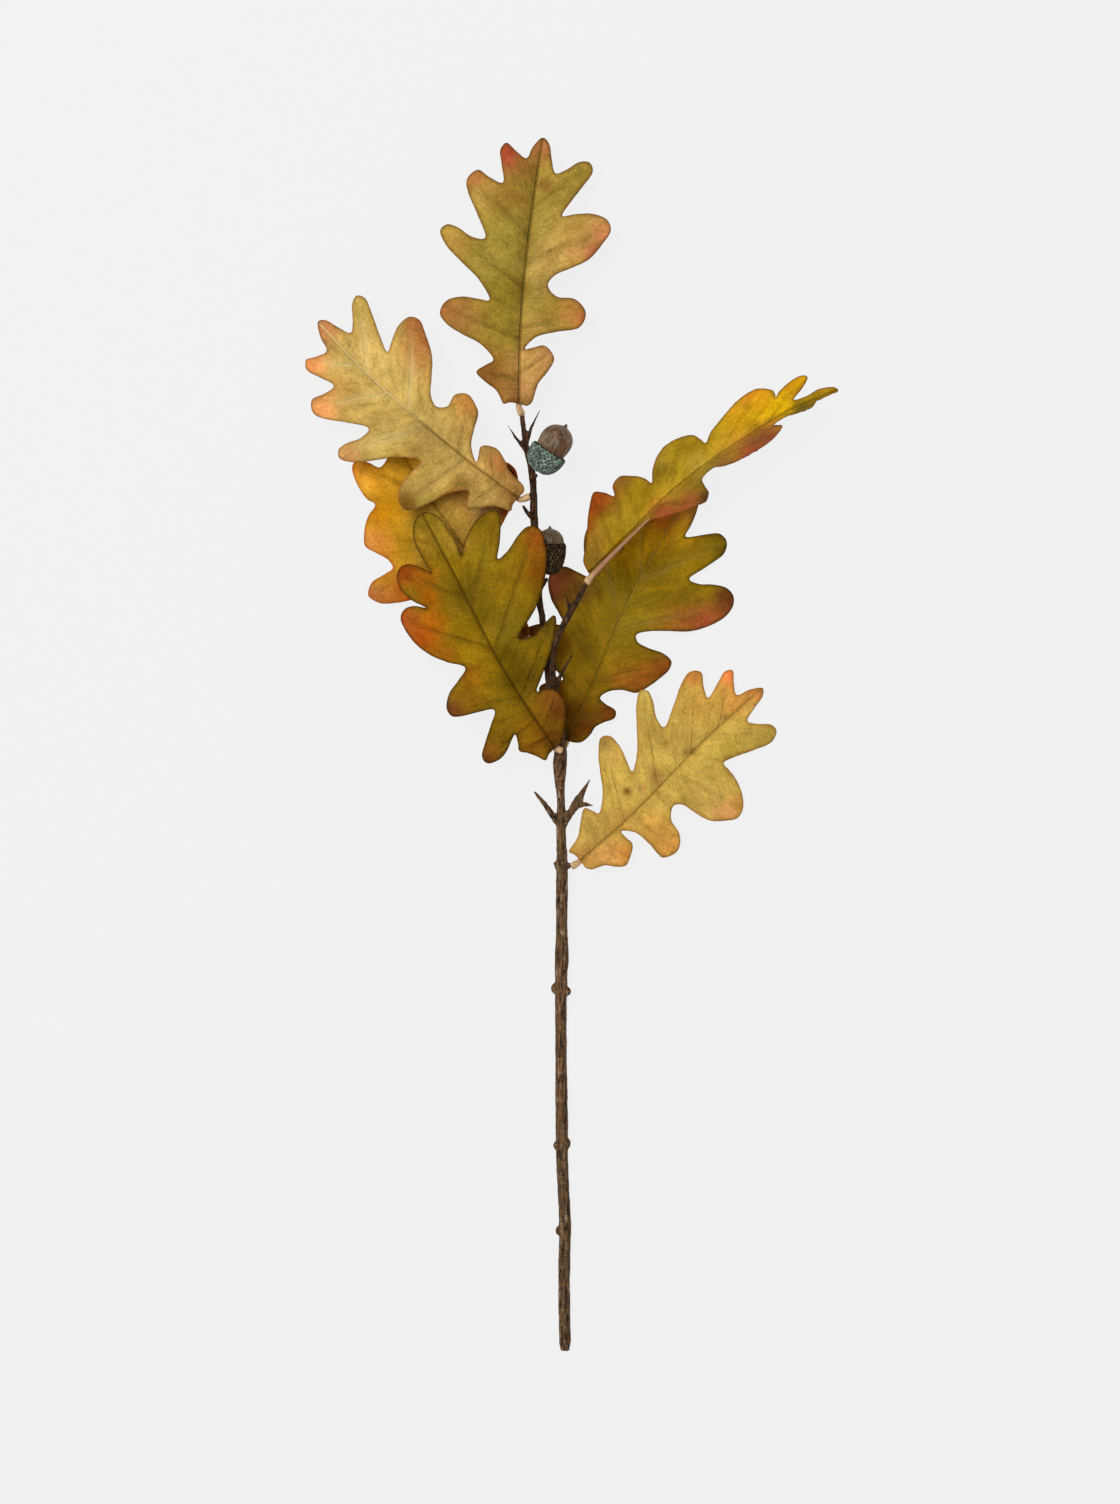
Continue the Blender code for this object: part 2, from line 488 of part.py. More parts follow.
def tube(name, points, collection, resolution=2):
    """A closed round bar through (x, y, z, radius) points in mm, with flat ends."""
    curve = bpy.data.curves.new(name, "CURVE")
    curve.dimensions = "3D"
    curve.bevel_depth = MM
    curve.bevel_resolution = resolution
    curve.use_fill_caps = True
    spline = curve.splines.new("POLY")
    spline.points.add(len(points) - 1)
    for knot, (x, y, z, radius) in zip(spline.points, points):
        knot.co = (x * MM, y * MM, z * MM, 1)
        knot.radius = radius
    source = bpy.data.objects.new(name + "_path", curve)
    collection.objects.link(source)
    bpy.context.view_layer.update()
    mesh = bpy.data.meshes.new_from_object(source.evaluated_get(bpy.context.evaluated_depsgraph_get()))
    bpy.data.objects.remove(source, do_unlink=True)
    welded = bmesh.new()
    welded.from_mesh(mesh)
    bmesh.ops.remove_doubles(welded, verts=welded.verts, dist=WELD * MM)
    bmesh.ops.recalc_face_normals(welded, faces=welded.faces)
    welded.to_mesh(mesh)
    welded.free()
    mesh.name = name
    obj = bpy.data.objects.new(name, mesh)
    collection.objects.link(obj)
    return obj


def join_into(target, others, cutters):
    """Boolean union of the target with each of the others."""
    for other in others:
        cutters.objects.link(other)
        for owner in list(other.users_collection):
            if owner is not cutters:
                owner.objects.unlink(other)
        other.hide_render = True
        other.display_type = "WIRE"
        union = target.modifiers.new("Join " + other.name, "BOOLEAN")
        union.operation = "UNION"
        union.solver = "EXACT"
        union.object = other


def twig(collection, cutters):
    """Stem, fork, spurs, pegs and bud scars, all one solid."""
    stem = tube("oak_branch", smooth_path(STEM, STEM_STEP), collection)
    growths = []
    for number, path in enumerate(SIDE_GROWTHS):
        step = SIDE_TWIG_STEP if path is SIDE_TWIG else SPUR_STEP
        growths.append(tube(f"growth_{number}", smooth_path(path, step), collection, resolution=1))
    for number, (x, y, z, radius) in enumerate(BUD_SCARS):
        mesh = bpy.data.meshes.new(f"scar_{number}")
        bud = bmesh.new()
        bmesh.ops.create_icosphere(bud, subdivisions=2, radius=radius * MM)
        bmesh.ops.scale(bud, verts=bud.verts, vec=(1, SCAR_STRETCH, 1))
        bmesh.ops.translate(bud, verts=bud.verts, vec=Vector((x, y, z)) * MM)
        bud.to_mesh(mesh)
        bud.free()
        scar = bpy.data.objects.new(mesh.name, mesh)
        collection.objects.link(scar)
        growths.append(scar)
    join_into(stem, growths, cutters)
    return stem


def stalk(name, leaf_name, collection):
    """The moulded stalk: a sleeve at the twig that runs on as a rib along the blade's midrib."""
    leaf = LEAVES[leaf_name]
    reach, offset, start = STALKS[leaf_name]
    midrib = smooth_path(leaf["midrib"], 1.0)
    rib = placed(leaf, midrib[:reach])[::RIB_STRIDE]
    radius = np.interp(np.linspace(0, 1, len(rib)), [0, 0.12, 1], RIB_RADII)
    turn = math.radians(leaf["heading"])
    aside, up = offset
    shift = np.array([aside * math.cos(turn), -aside * math.sin(turn), up])
    path = [(*(p + shift), r) for p, r in zip(rib, radius)]
    return tube(name, [(*start, SLEEVE_RADIUS)] + path, collection)


def turned(name, profile, base, axis, collection):
    """A solid of revolution: the (radius, along) profile in mm spun about its axis, standing at base."""
    mesh = bpy.data.meshes.new(name)
    verts = [(r * MM, 0, a * MM) for r, a in profile]
    edges = [(i, i + 1) for i in range(len(profile) - 1)]
    mesh.from_pydata(verts, edges, [])
    obj = bpy.data.objects.new(name, mesh)
    collection.objects.link(obj)
    spin = obj.modifiers.new("Turn", "SCREW")
    spin.steps = TURNED_SIDES
    spin.render_steps = TURNED_SIDES
    spin.use_merge_vertices = True
    spin.merge_threshold = WELD * MM
    spin.use_normal_calculate = True
    obj.rotation_mode = "QUATERNION"
    obj.rotation_quaternion = Vector(axis).to_track_quat("Z", "Y")
    obj.location = Vector(base) * MM
    return obj


def finish_material(obj, colour, roughness):
    material = bpy.data.materials.new(obj.name)
    material.use_nodes = True
    shader = material.node_tree.nodes["Principled BSDF"]
    shader.inputs["Base Color"].default_value = (*colour, 1)
    shader.inputs["Roughness"].default_value = roughness
    obj.data.materials.clear()
    obj.data.materials.append(material)


def world_points(obj):
    evaluated = obj.evaluated_get(bpy.context.evaluated_depsgraph_get())
    return np.array([tuple(obj.matrix_world @ v.co) for v in evaluated.data.vertices])


def stand_on_origin(nodes, helpers):
    """Moves everything so the origin is at the bottom centre of the whole spray."""
    bpy.context.view_layer.update()
    cloud = np.vstack([world_points(obj) for obj in nodes])
    low, high = cloud.min(0), cloud.max(0)
    move = Vector((-(low[0] + high[0]) / 2, -(low[1] + high[1]) / 2, -low[2]))
    for obj in nodes + helpers:
        obj.location += move


clear_scene()
spray = bpy.data.collections.new("oak_spray")
cutters = bpy.data.collections.new("cutters")
bpy.context.scene.collection.children.link(spray)
bpy.context.scene.collection.children.link(cutters)

branch = twig(spray, cutters)
finish_material(branch, BARK_COLOUR, 0.7)
for leaf_name, colour in LEAF_COLOURS.items():
    finish_material(leaf_blade(leaf_name, spray), colour, 0.6)
    stalk_name = leaf_name.replace("leaf_", "leaf_stalk_")
    finish_material(stalk(stalk_name, leaf_name, spray), STALK_COLOUR, 0.5)
for name, place in ACORNS.items():
    size = place["size"]
    cup_profile = [(r * size, a * size * place["depth"]) for r, a in CUP_PROFILE]
    nut_profile = [(r * size, a * size) for r, a in NUT_PROFILE]
    foot = Vector(place["foot"])
    axis = Vector(place["axis"]).normalized()
    finish_material(turned(f"acorn_cup_{name}", cup_profile, foot, axis, spray), CUP_COLOUR, 0.8)
    lifted = foot + axis * (NUT_SEAT * size * place["depth"])
    finish_material(turned(f"acorn_nut_{name}", nut_profile, lifted, axis, spray), NUT_COLOUR, 0.4)
stand_on_origin(list(spray.objects), list(cutters.objects))
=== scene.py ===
import math

import bmesh
import bpy
import numpy as np
from mathutils import Matrix, Vector, noise
from mathutils.geometry import delaunay_2d_cdt


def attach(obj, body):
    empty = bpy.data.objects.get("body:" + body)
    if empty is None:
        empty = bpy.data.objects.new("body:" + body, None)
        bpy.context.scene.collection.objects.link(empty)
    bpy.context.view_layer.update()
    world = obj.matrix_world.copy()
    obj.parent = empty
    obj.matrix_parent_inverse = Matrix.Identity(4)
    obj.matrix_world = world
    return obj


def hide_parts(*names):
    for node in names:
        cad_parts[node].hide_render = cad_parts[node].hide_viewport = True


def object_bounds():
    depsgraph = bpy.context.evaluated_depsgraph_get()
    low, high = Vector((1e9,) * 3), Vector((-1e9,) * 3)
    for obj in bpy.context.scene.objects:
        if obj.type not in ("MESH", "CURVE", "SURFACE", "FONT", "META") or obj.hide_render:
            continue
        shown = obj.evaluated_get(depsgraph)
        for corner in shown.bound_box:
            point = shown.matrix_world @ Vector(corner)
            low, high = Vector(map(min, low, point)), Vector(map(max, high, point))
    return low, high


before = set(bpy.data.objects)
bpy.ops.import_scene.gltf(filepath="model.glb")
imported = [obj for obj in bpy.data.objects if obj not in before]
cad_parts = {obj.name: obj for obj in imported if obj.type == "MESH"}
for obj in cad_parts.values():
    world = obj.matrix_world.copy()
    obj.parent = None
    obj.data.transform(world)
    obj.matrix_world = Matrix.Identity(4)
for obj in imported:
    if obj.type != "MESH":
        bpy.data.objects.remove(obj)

cad_low, cad_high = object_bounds()


# ---------------------------------------------------------------- studio
# The spray lies on a plain pale sheet under soft daylight from the upper left.
# The camera hangs three metres above it and looks straight down, with the twig's cut end at the bottom.
def daylight(red, green, blue):
    """A paint colour, given in the 0 to 255 of a paint chart, as the linear colour that shaders take."""
    chart = [value / 255 for value in (red, green, blue)]
    return tuple(c / 12.92 if c <= 0.04045 else ((c + 0.055) / 1.055) ** 2.4 for c in chart)


class Wire:
    """One socket in a finish's node tree. Sums written with it add their Math nodes."""

    def __init__(self, finish, socket):
        self.finish = finish
        self.socket = socket

    def math(self, operation, *values):
        return self.finish.node("Math", {"operation": operation}, *values)

    def __add__(self, other):
        return self.math("ADD", self, other)

    def __sub__(self, other):
        return self.math("SUBTRACT", self, other)

    def __mul__(self, other):
        return self.math("MULTIPLY", self, other)

    def __rsub__(self, other):
        return self.math("SUBTRACT", other, self)

    __radd__ = __add__
    __rmul__ = __mul__

    def __abs__(self):
        return self.math("ABSOLUTE", self)

    def fade(self, start, end, low=0.0, high=1.0):
        """Runs smoothly from low at start to high at end."""
        settings = {"interpolation_type": "SMOOTHSTEP"}
        names = {"Value": self, "From Min": start, "From Max": end, "To Min": low, "To Max": high}
        return self.finish.node("MapRange", settings, **names)


class Finish:
    """A material whose nodes are added by name."""

    def __init__(self, name):
        self.material = bpy.data.materials.new(name)
        self.material.use_nodes = True
        self.tree = self.material.node_tree
        self.shader = self.tree.nodes["Principled BSDF"]

    def node(self, kind, settings=None, *values, out=0, **named):
        node = self.tree.nodes.new("ShaderNode" + kind)
        for key, setting in (settings or {}).items():
            setattr(node, key, setting)
        for key, value in list(enumerate(values)) + list(named.items()):
            self.plug(node.inputs[key], value)
        return Wire(self, node.outputs[out])

    def plug(self, socket, value):
        if isinstance(value, Wire):
            self.tree.links.new(value.socket, socket)
        elif isinstance(value, tuple) and len(value) == 3 and socket.type == "RGBA":
            socket.default_value = (*value, 1)
        else:
            socket.default_value = value

    def blend(self, factor, under, over, how="MIX"):
        """Two colours mixed by factor."""
        node = self.tree.nodes.new("ShaderNodeMix")
        node.data_type = "RGBA"
        node.blend_type = how
        for socket, value in zip((node.inputs[0], node.inputs[6], node.inputs[7]), (factor, under, over)):
            self.plug(socket, value)
        return Wire(self, node.outputs[2])

    def place(self, stretch=(1, 1, 1)):
        """Object coordinates in millimetres, stretched along an axis where the pattern runs along it."""
        scale = tuple(1000 * s for s in stretch)
        return self.node("Mapping", None, Vector=self.node("TexCoord", None, out="Object"), Scale=scale)

    def cloud(self, place, scale, detail=3.0, rough=0.55, distortion=0.0):
        named = {"Scale": scale, "Detail": detail, "Roughness": rough, "Distortion": distortion}
        return self.node("TexNoise", None, Vector=place, **named)

    def set(self, **inputs):
        for name, value in inputs.items():
            self.plug(self.shader.inputs[name.replace("_", " ")], value)
        return self.material

    def relief(self, height, distance, strength=1.0):
        return self.node("Bump", None, Height=height, Distance=distance, Strength=strength)


sheet = bmesh.new()
bmesh.ops.create_grid(sheet, x_segments=2, y_segments=2, size=4.0)
sheet_mesh = bpy.data.meshes.new("pale_sheet")
sheet.to_mesh(sheet_mesh)
sheet.free()
pale_sheet = bpy.data.objects.new("pale_sheet", sheet_mesh)
bpy.context.scene.collection.objects.link(pale_sheet)
sheet_finish = Finish("pale sheet")
sheet_finish.set(
    Base_Color=(0.04, 0.04, 0.04), Roughness=1.0, Specular_IOR_Level=0.0,
    Emission_Color=daylight(242, 242, 242), Emission_Strength=0.94,
)
sheet_mesh.materials.append(sheet_finish.material)

camera = bpy.data.objects.new("camera", bpy.data.cameras.new("camera"))
camera.data.lens = 143.6
camera.data.sensor_width = 36
camera.data.clip_start = 0.1
camera.data.clip_end = 20
camera.location = (-0.00523, -0.00345, 3.0)
bpy.context.scene.collection.objects.link(camera)
bpy.context.scene.camera = camera
bpy.context.scene.view_settings.view_transform = "Standard"

softbox = bpy.data.objects.new("softbox", bpy.data.lights.new("softbox", "AREA"))
softbox.data.shape = "DISK"
softbox.data.size = 1.5
softbox.data.energy = 52
softbox.location = (-0.8, 0.6, 2.6)
softbox.rotation_euler = (Vector((0, 0, 0)) - softbox.location).to_track_quat("-Z", "Y").to_euler()
bpy.context.scene.collection.objects.link(softbox)
sky = bpy.data.worlds.new("sky")
sky.use_nodes = True
sky.node_tree.nodes["Background"].inputs["Color"].default_value = (1, 1, 1, 1)
sky.node_tree.nodes["Background"].inputs["Strength"].default_value = 0.54
bpy.context.scene.world = sky


# ---------------------------------------------------------------- twig
# One plastic moulding over a wire, from the cut end to the peg of the top leaf, with spurs and bud scars.
# Its skin is rough like bark and is painted brown, wiped with mauve grey, with flecks of the green plastic
# and painted shade in its grooves.
TWIG_VOXEL = 0.00048
BARK_DEPTH = 0.00042
SMOOTHINGS = 3


def new_piece(name, mesh, *nodes):
    """A mesh made an object that rides on the spray and stands for these CAD nodes."""
    piece = bpy.data.objects.new(name, mesh)
    bpy.context.scene.collection.objects.link(piece)
    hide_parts(*nodes)
    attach(piece, "root")
    return piece


def smooth_shaded(mesh):
    mesh.shade_smooth()
    return mesh


twig_copy = bmesh.new()
twig_copy.from_mesh(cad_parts["oak_branch"].data)
bmesh.ops.remove_doubles(twig_copy, verts=twig_copy.verts, dist=0.00001)
twig_mesh = bpy.data.meshes.new("twig_core")
twig_copy.to_mesh(twig_mesh)
twig_copy.free()
core = bpy.data.objects.new("twig_core", twig_mesh)
bpy.context.scene.collection.objects.link(core)
skin = core.modifiers.new("Skin", "REMESH")
skin.mode = "VOXEL"
skin.voxel_size = TWIG_VOXEL
bpy.context.view_layer.update()
bark_mesh = bpy.data.meshes.new_from_object(core.evaluated_get(bpy.context.evaluated_depsgraph_get()))
bpy.data.objects.remove(core, do_unlink=True)
bark = bmesh.new()
bark.from_mesh(bark_mesh)
every_axis = {"use_axis_x": True, "use_axis_y": True, "use_axis_z": True}
for _ in range(SMOOTHINGS):
    bmesh.ops.smooth_vert(bark, verts=bark.verts, factor=0.5, **every_axis)
bark.normal_update()
ridge_layer = bark.verts.layers.float.new("ridge")
for vert in bark.verts:
    x, y, z = vert.co * 1000
    long_grain = noise.fractal(Vector((x * 0.75, y * 0.13, z * 0.75)), 0.8, 2.1, 4)
    wrinkles = noise.noise(Vector((x * 0.35, y * 0.9, z * 0.35 + 7)))
    ridge = max(0.0, min(1.0, 0.5 + 0.55 * long_grain + 0.18 * wrinkles))
    vert[ridge_layer] = ridge
    vert.co -= vert.normal * BARK_DEPTH * (1 - ridge)
bark.to_mesh(bark_mesh)
bark.free()
bark_mesh.name = "twig_bark"
twig = new_piece("twig_bark", smooth_shaded(bark_mesh), "oak_branch")

paint = Finish("bark paint")
along_twig = paint.place((1, 0.16, 1))
everywhere = paint.place()
ridge = paint.node("Attribute", {"attribute_name": "ridge"}, out="Fac")
grain = paint.cloud(along_twig, 1.1, 5.0, 0.62)
patches = paint.cloud(everywhere, 0.075, 3.0)
colour = paint.blend(grain.fade(0.35, 0.68), daylight(40, 25, 13), daylight(124, 88, 58))
colour = paint.blend(patches.fade(0.4, 0.62) * 0.5, colour, daylight(88, 68, 38))
dust = ridge.fade(0.55, 0.9) * paint.cloud(everywhere, 0.4, 5.0, 0.65).fade(0.42, 0.6)
colour = paint.blend(dust * 0.65, colour, daylight(170, 144, 116))
# Painted shade: the grooves between the ridges are darkened.
colour = paint.blend(ridge.fade(0.46, 0.14) * 0.9, colour, daylight(20, 11, 6))
flecks = paint.cloud(everywhere, 0.5, 3.0).fade(0.66, 0.71)
colour = paint.blend(flecks * 0.7, colour, daylight(150, 130, 66))
up_twig = paint.node("SeparateXYZ", None, out="Y", Vector=everywhere)
colour = paint.blend(up_twig.fade(-12, 24), colour, (0.46, 0.36, 0.27), "MULTIPLY")
pitting = paint.cloud(everywhere, 2.6, 4.0, 0.7)
paint.set(
    Base_Color=colour, Roughness=grain.fade(0.3, 0.7, 0.5, 0.75), Specular_IOR_Level=0.14,
    Normal=paint.relief(grain * 0.6 + pitting * 0.4, 0.00045, 0.9),
)
bark_mesh.materials.clear()
bark_mesh.materials.append(paint.material)


# ---------------------------------------------------------------- leaf blades
# Seven oak leaves die-cut from printed cloth, pressed over a mould that leaves veins and a soft pucker.
# A pattern is a leaf laid flat: (across, along) in mm, midrib on across = 0, base at along = 0.
# Each lobe: where its vein leaves the midrib, its tip, and its edge from one notch to the next.
LONG_VEIN = 40.0
SPINE_START = 4.0
SPINE_END = 3.0
CURVE_SAMPLES = 24
FAN_SAMPLES = 40
TINY = 1e-5
INSIDE_ONLY = 1
NARROW = {
    "apex_root": 112,
    "apex_edge": [(-6.4, 123.5), (-4.2, 130), (0, 135.7), (3.4, 132.5), (5.5, 125)],
    "left": [
        (104, (-18, 131.5), [(-12, 127), (-18, 131.8), (-20.6, 128), (-19, 120.5)]),
        (84, (-33, 113.5), [(-17, 110.5), (-24, 113), (-31, 117), (-36, 112), (-34.5, 105), (-28.5, 94)]),
        (58, (-45, 85), [
            (-22.8, 81.5), (-30, 82), (-38, 86.5), (-44, 87.8), (-47.2, 84.5), (-43, 77), (-34, 69),
            (-24, 60.5),
        ]),
        (33, (-42.5, 45), [
            (-17.6, 50.8), (-24, 51.3), (-33, 52), (-41, 49.5), (-44, 43.5), (-41, 39), (-31, 33.5),
            (-21, 29),
        ]),
        (13, (-23, 15.5), [(-14.2, 21.8), (-18, 19.5), (-23.4, 15.6), (-18, 11), (-12, 7)]),
        (3, (-7.5, 0.6), [(-9.5, 3.5), (-7.5, 0.4), (-4.5, 1.4)]),
    ],
    "right": [
        (98, (24, 123), [
            (8.5, 117), (13, 119.5), (19.5, 125.3), (24, 125.5), (26, 121.5), (22, 112.5), (17.5, 104),
        ]),
        (70, (35, 95.5), [
            (14.2, 96), (20, 98), (28, 100), (35, 98.3), (37.2, 93.5), (34, 86), (28, 76.5), (20, 70.5),
            (13.5, 66),
        ]),
        (38, (27, 48), [(10.8, 60.5), (15, 55.5), (23, 55.3), (28.2, 49), (25.3, 42), (15, 38), (7, 34.5)]),
        (16, (12.5, 27.5), [(2, 28), (6, 29.4), (10.5, 31), (14.2, 26), (12, 19), (8.3, 12.5)]),
        (3, (5, 0.6), [(7.2, 7), (6.6, 3), (4.4, 0.4), (1.5, 0.8)]),
    ],
}
BROAD = {
    "apex_root": 94,
    "apex_edge": [
        (-10, 105), (-10.6, 113), (-9.4, 125), (-4.5, 131.4), (1, 132.2), (5.6, 128), (7.8, 118),
        (7.9, 110),
    ],
    "left": [
        (84, (-23.5, 113.5), [
            (-12.5, 108.5), (-17, 113.3), (-22, 115), (-26.5, 112), (-28, 105.5), (-25.5, 98),
        ]),
        (58, (-35, 91), [
            (-20.5, 91), (-26, 95), (-31, 96), (-35.3, 93.5), (-36.6, 87), (-35.5, 79), (-31, 70),
            (-25, 63),
        ]),
        (30, (-38.3, 41), [
            (-18, 56.3), (-25, 52.4), (-33, 49), (-38.4, 43), (-38, 38.8), (-33, 36.3), (-24, 34),
        ]),
        (16, (-35, 11), [
            (-16, 31), (-22, 25.5), (-30, 19), (-35.5, 13.5), (-35, 9), (-29, 8), (-22, 10.5),
        ]),
        (5, (-17, 6.5), [(-13.6, 15.4), (-15.5, 10.5), (-18, 6.6), (-14.5, 4), (-10.5, 0.5)]),
        (1.5, (-7, -3), [(-6.8, -3.4), (-4.2, -1.6)]),
    ],
    "right": [
        (80, (30, 114.5), [
            (7, 104.5), (12, 109.5), (18, 114), (26, 116.5), (32.4, 114), (31, 108), (27, 101),
        ]),
        (56, (44.5, 97), [
            (22, 94), (28, 95), (36, 99), (42, 100.3), (46.4, 96.5), (44.5, 87), (38, 76), (30, 67),
            (21, 61),
        ]),
        (30, (31.5, 55), [(13, 56), (19, 53), (26, 54.8), (32.5, 56), (29, 48), (20, 39), (12, 32.5)]),
        (10, (15.5, 20.5), [(7.5, 28.3), (12, 26.3), (16, 22), (16.5, 15), (12, 8)]),
        (2, (4, 1), [(7, 3), (3, 0.3)]),
    ],
}
WIDE = {
    "apex_root": 104,
    "apex_edge": [(-8, 121), (-8.5, 130), (-6, 138), (0, 142), (5, 139), (7.5, 132), (8.6, 125)],
    "left": [
        (90, (-20, 127), [(-10, 118), (-15, 124.5), (-20, 128), (-24, 123), (-24, 114), (-19, 104)]),
        (66, (-33, 104), [(-16, 97), (-22, 102), (-29, 107), (-34, 105), (-36, 98), (-32, 88), (-25, 81)]),
        (38, (-41.5, 68), [(-22.5, 78), (-30, 77.5), (-38, 76.6), (-42, 69), (-37, 60), (-29.5, 54.5)]),
        (22, (-42, 39.5), [
            (-25.5, 51), (-33, 48), (-38.5, 44.5), (-42.5, 39.5), (-38.5, 35), (-28, 31.5), (-20, 29),
        ]),
        (8, (-23, 17), [(-14.5, 26.5), (-19, 23.5), (-23.5, 18), (-20, 13), (-12, 8.5)]),
        (2, (-6, 1.5), [(-6.5, 3), (-3, 0.6)]),
    ],
    "right": [
        (88, (28, 126), [
            (9, 118.5), (13, 121), (18, 125), (23, 128), (28, 126.5), (30, 120.5), (27.5, 114), (24.5, 108),
        ]),
        (60, (46.5, 100), [
            (21, 100.5), (26.5, 100.8), (33, 104), (40, 105.8), (45, 104), (47.2, 99.2), (46, 92.5),
            (41, 85),
            (33.5, 78), (23.5, 72.7), (14.7, 67.7),
        ]),
        (34, (32, 58), [
            (10.3, 63.5), (12, 60.8), (17.5, 60.5), (26.5, 61.8), (31.5, 60.3), (32.3, 56), (30, 50.5),
            (26.3, 44),
            (22, 38.3), (14.5, 35.8), (8.4, 31.5),
        ]),
        (12, (16.5, 24), [(6.2, 27), (10, 25.8), (16, 25.4), (17, 22), (13, 17.5), (10, 13)]),
        (2, (6, 1.5), [(9.6, 9), (7.2, 3.3), (2.8, 0.8)]),
    ],
}
CURLED = {
    "apex_root": 130,
    "apex_edge": [
        (-7, 133), (-5.5, 140), (-6.5, 147), (-3.5, 153.5), (0, 155), (3, 154), (4.5, 148), (5, 143),
    ],
    "left": [
        (116, (-20.5, 145), [(-12.5, 140), (-19, 145.8), (-22, 141), (-19, 130.5)]),
        (88, (-28.5, 122), [(-15.5, 127), (-22, 128.5), (-29, 124), (-30.5, 115), (-26, 103), (-18.5, 91)]),
        (58, (-31, 77), [
            (-13, 86), (-18, 85.5), (-26, 84), (-32, 77.5), (-33, 70), (-30, 63.5), (-22, 57),
        ]),
        (36, (-40, 44), [(-15.5, 53.5), (-23, 52.5), (-33, 49), (-40, 43.5), (-39, 38)]),
        (18, (-43, 27), [(-31, 35), (-39, 32), (-43.5, 27.5), (-37, 20), (-24, 12.5), (-13, 6.5)]),
        (3, (-5, 1), [(-5, 1.2)]),
    ],
    "right": [
        (122, (14, 139), [(10, 141.5), (14.5, 139), (12.5, 132), (6, 125.5)]),
        (84, (23, 116), [
            (6, 117.5), (12, 119.5), (18, 121), (24, 117), (26, 106), (22.5, 96), (15, 87), (8, 81),
        ]),
        (48, (34, 70), [
            (9, 74.5), (18, 73.5), (29, 73.5), (35, 70), (33, 61), (27, 52), (17, 45), (9, 41),
        ]),
        (20, (24, 28), [(9, 35), (16, 34.5), (24, 31), (25, 25), (18, 15), (10, 8)]),
        (3, (5, 1), [(5, 1.2)]),
    ],
}
REAR = {
    "apex_root": 112,
    "apex_edge": [(-8, 117), (-6, 126), (0, 131), (6, 127), (7, 118)],
    "left": [
        (88, (-31, 124.5), [(-17, 114), (-22, 120), (-27.5, 124.5), (-32, 123), (-34.5, 116), (-34, 105)]),
        (60, (-47.5, 86), [(-31, 100), (-38, 97), (-44.5, 91), (-48, 85), (-45, 79), (-41, 72)]),
        (38, (-61, 61.5), [
            (-41, 67), (-48, 66.5), (-56, 66.5), (-61.5, 62), (-59, 56.5), (-50, 51.5), (-36, 46),
        ]),
        (16, (-33, 28), [(-20, 37), (-27, 34.5), (-33, 30), (-32, 24), (-23, 16), (-12, 8)]),
        (3, (-5, 1), [(-5, 1.2)]),
    ],
    "right": [
        (92, (26, 108), [(10, 104), (16, 108), (24, 110.5), (28, 106), (25, 97), (18, 90)]),
        (56, (39.5, 78), [
            (15, 84), (22, 83.5), (31, 83.5), (38, 81.5), (40, 76), (37, 69), (28, 61), (18, 54),
        ]),
        (22, (17, 28), [(8, 45), (11, 38), (15, 33), (18, 28), (15, 23), (9, 19)]),
        (3, (2, 1), [(5, 13), (2, 1.2)]),
    ],
}
PATTERNS = {"narrow": NARROW, "broad": BROAD, "wide": WIDE, "curled": CURLED, "rear": REAR}

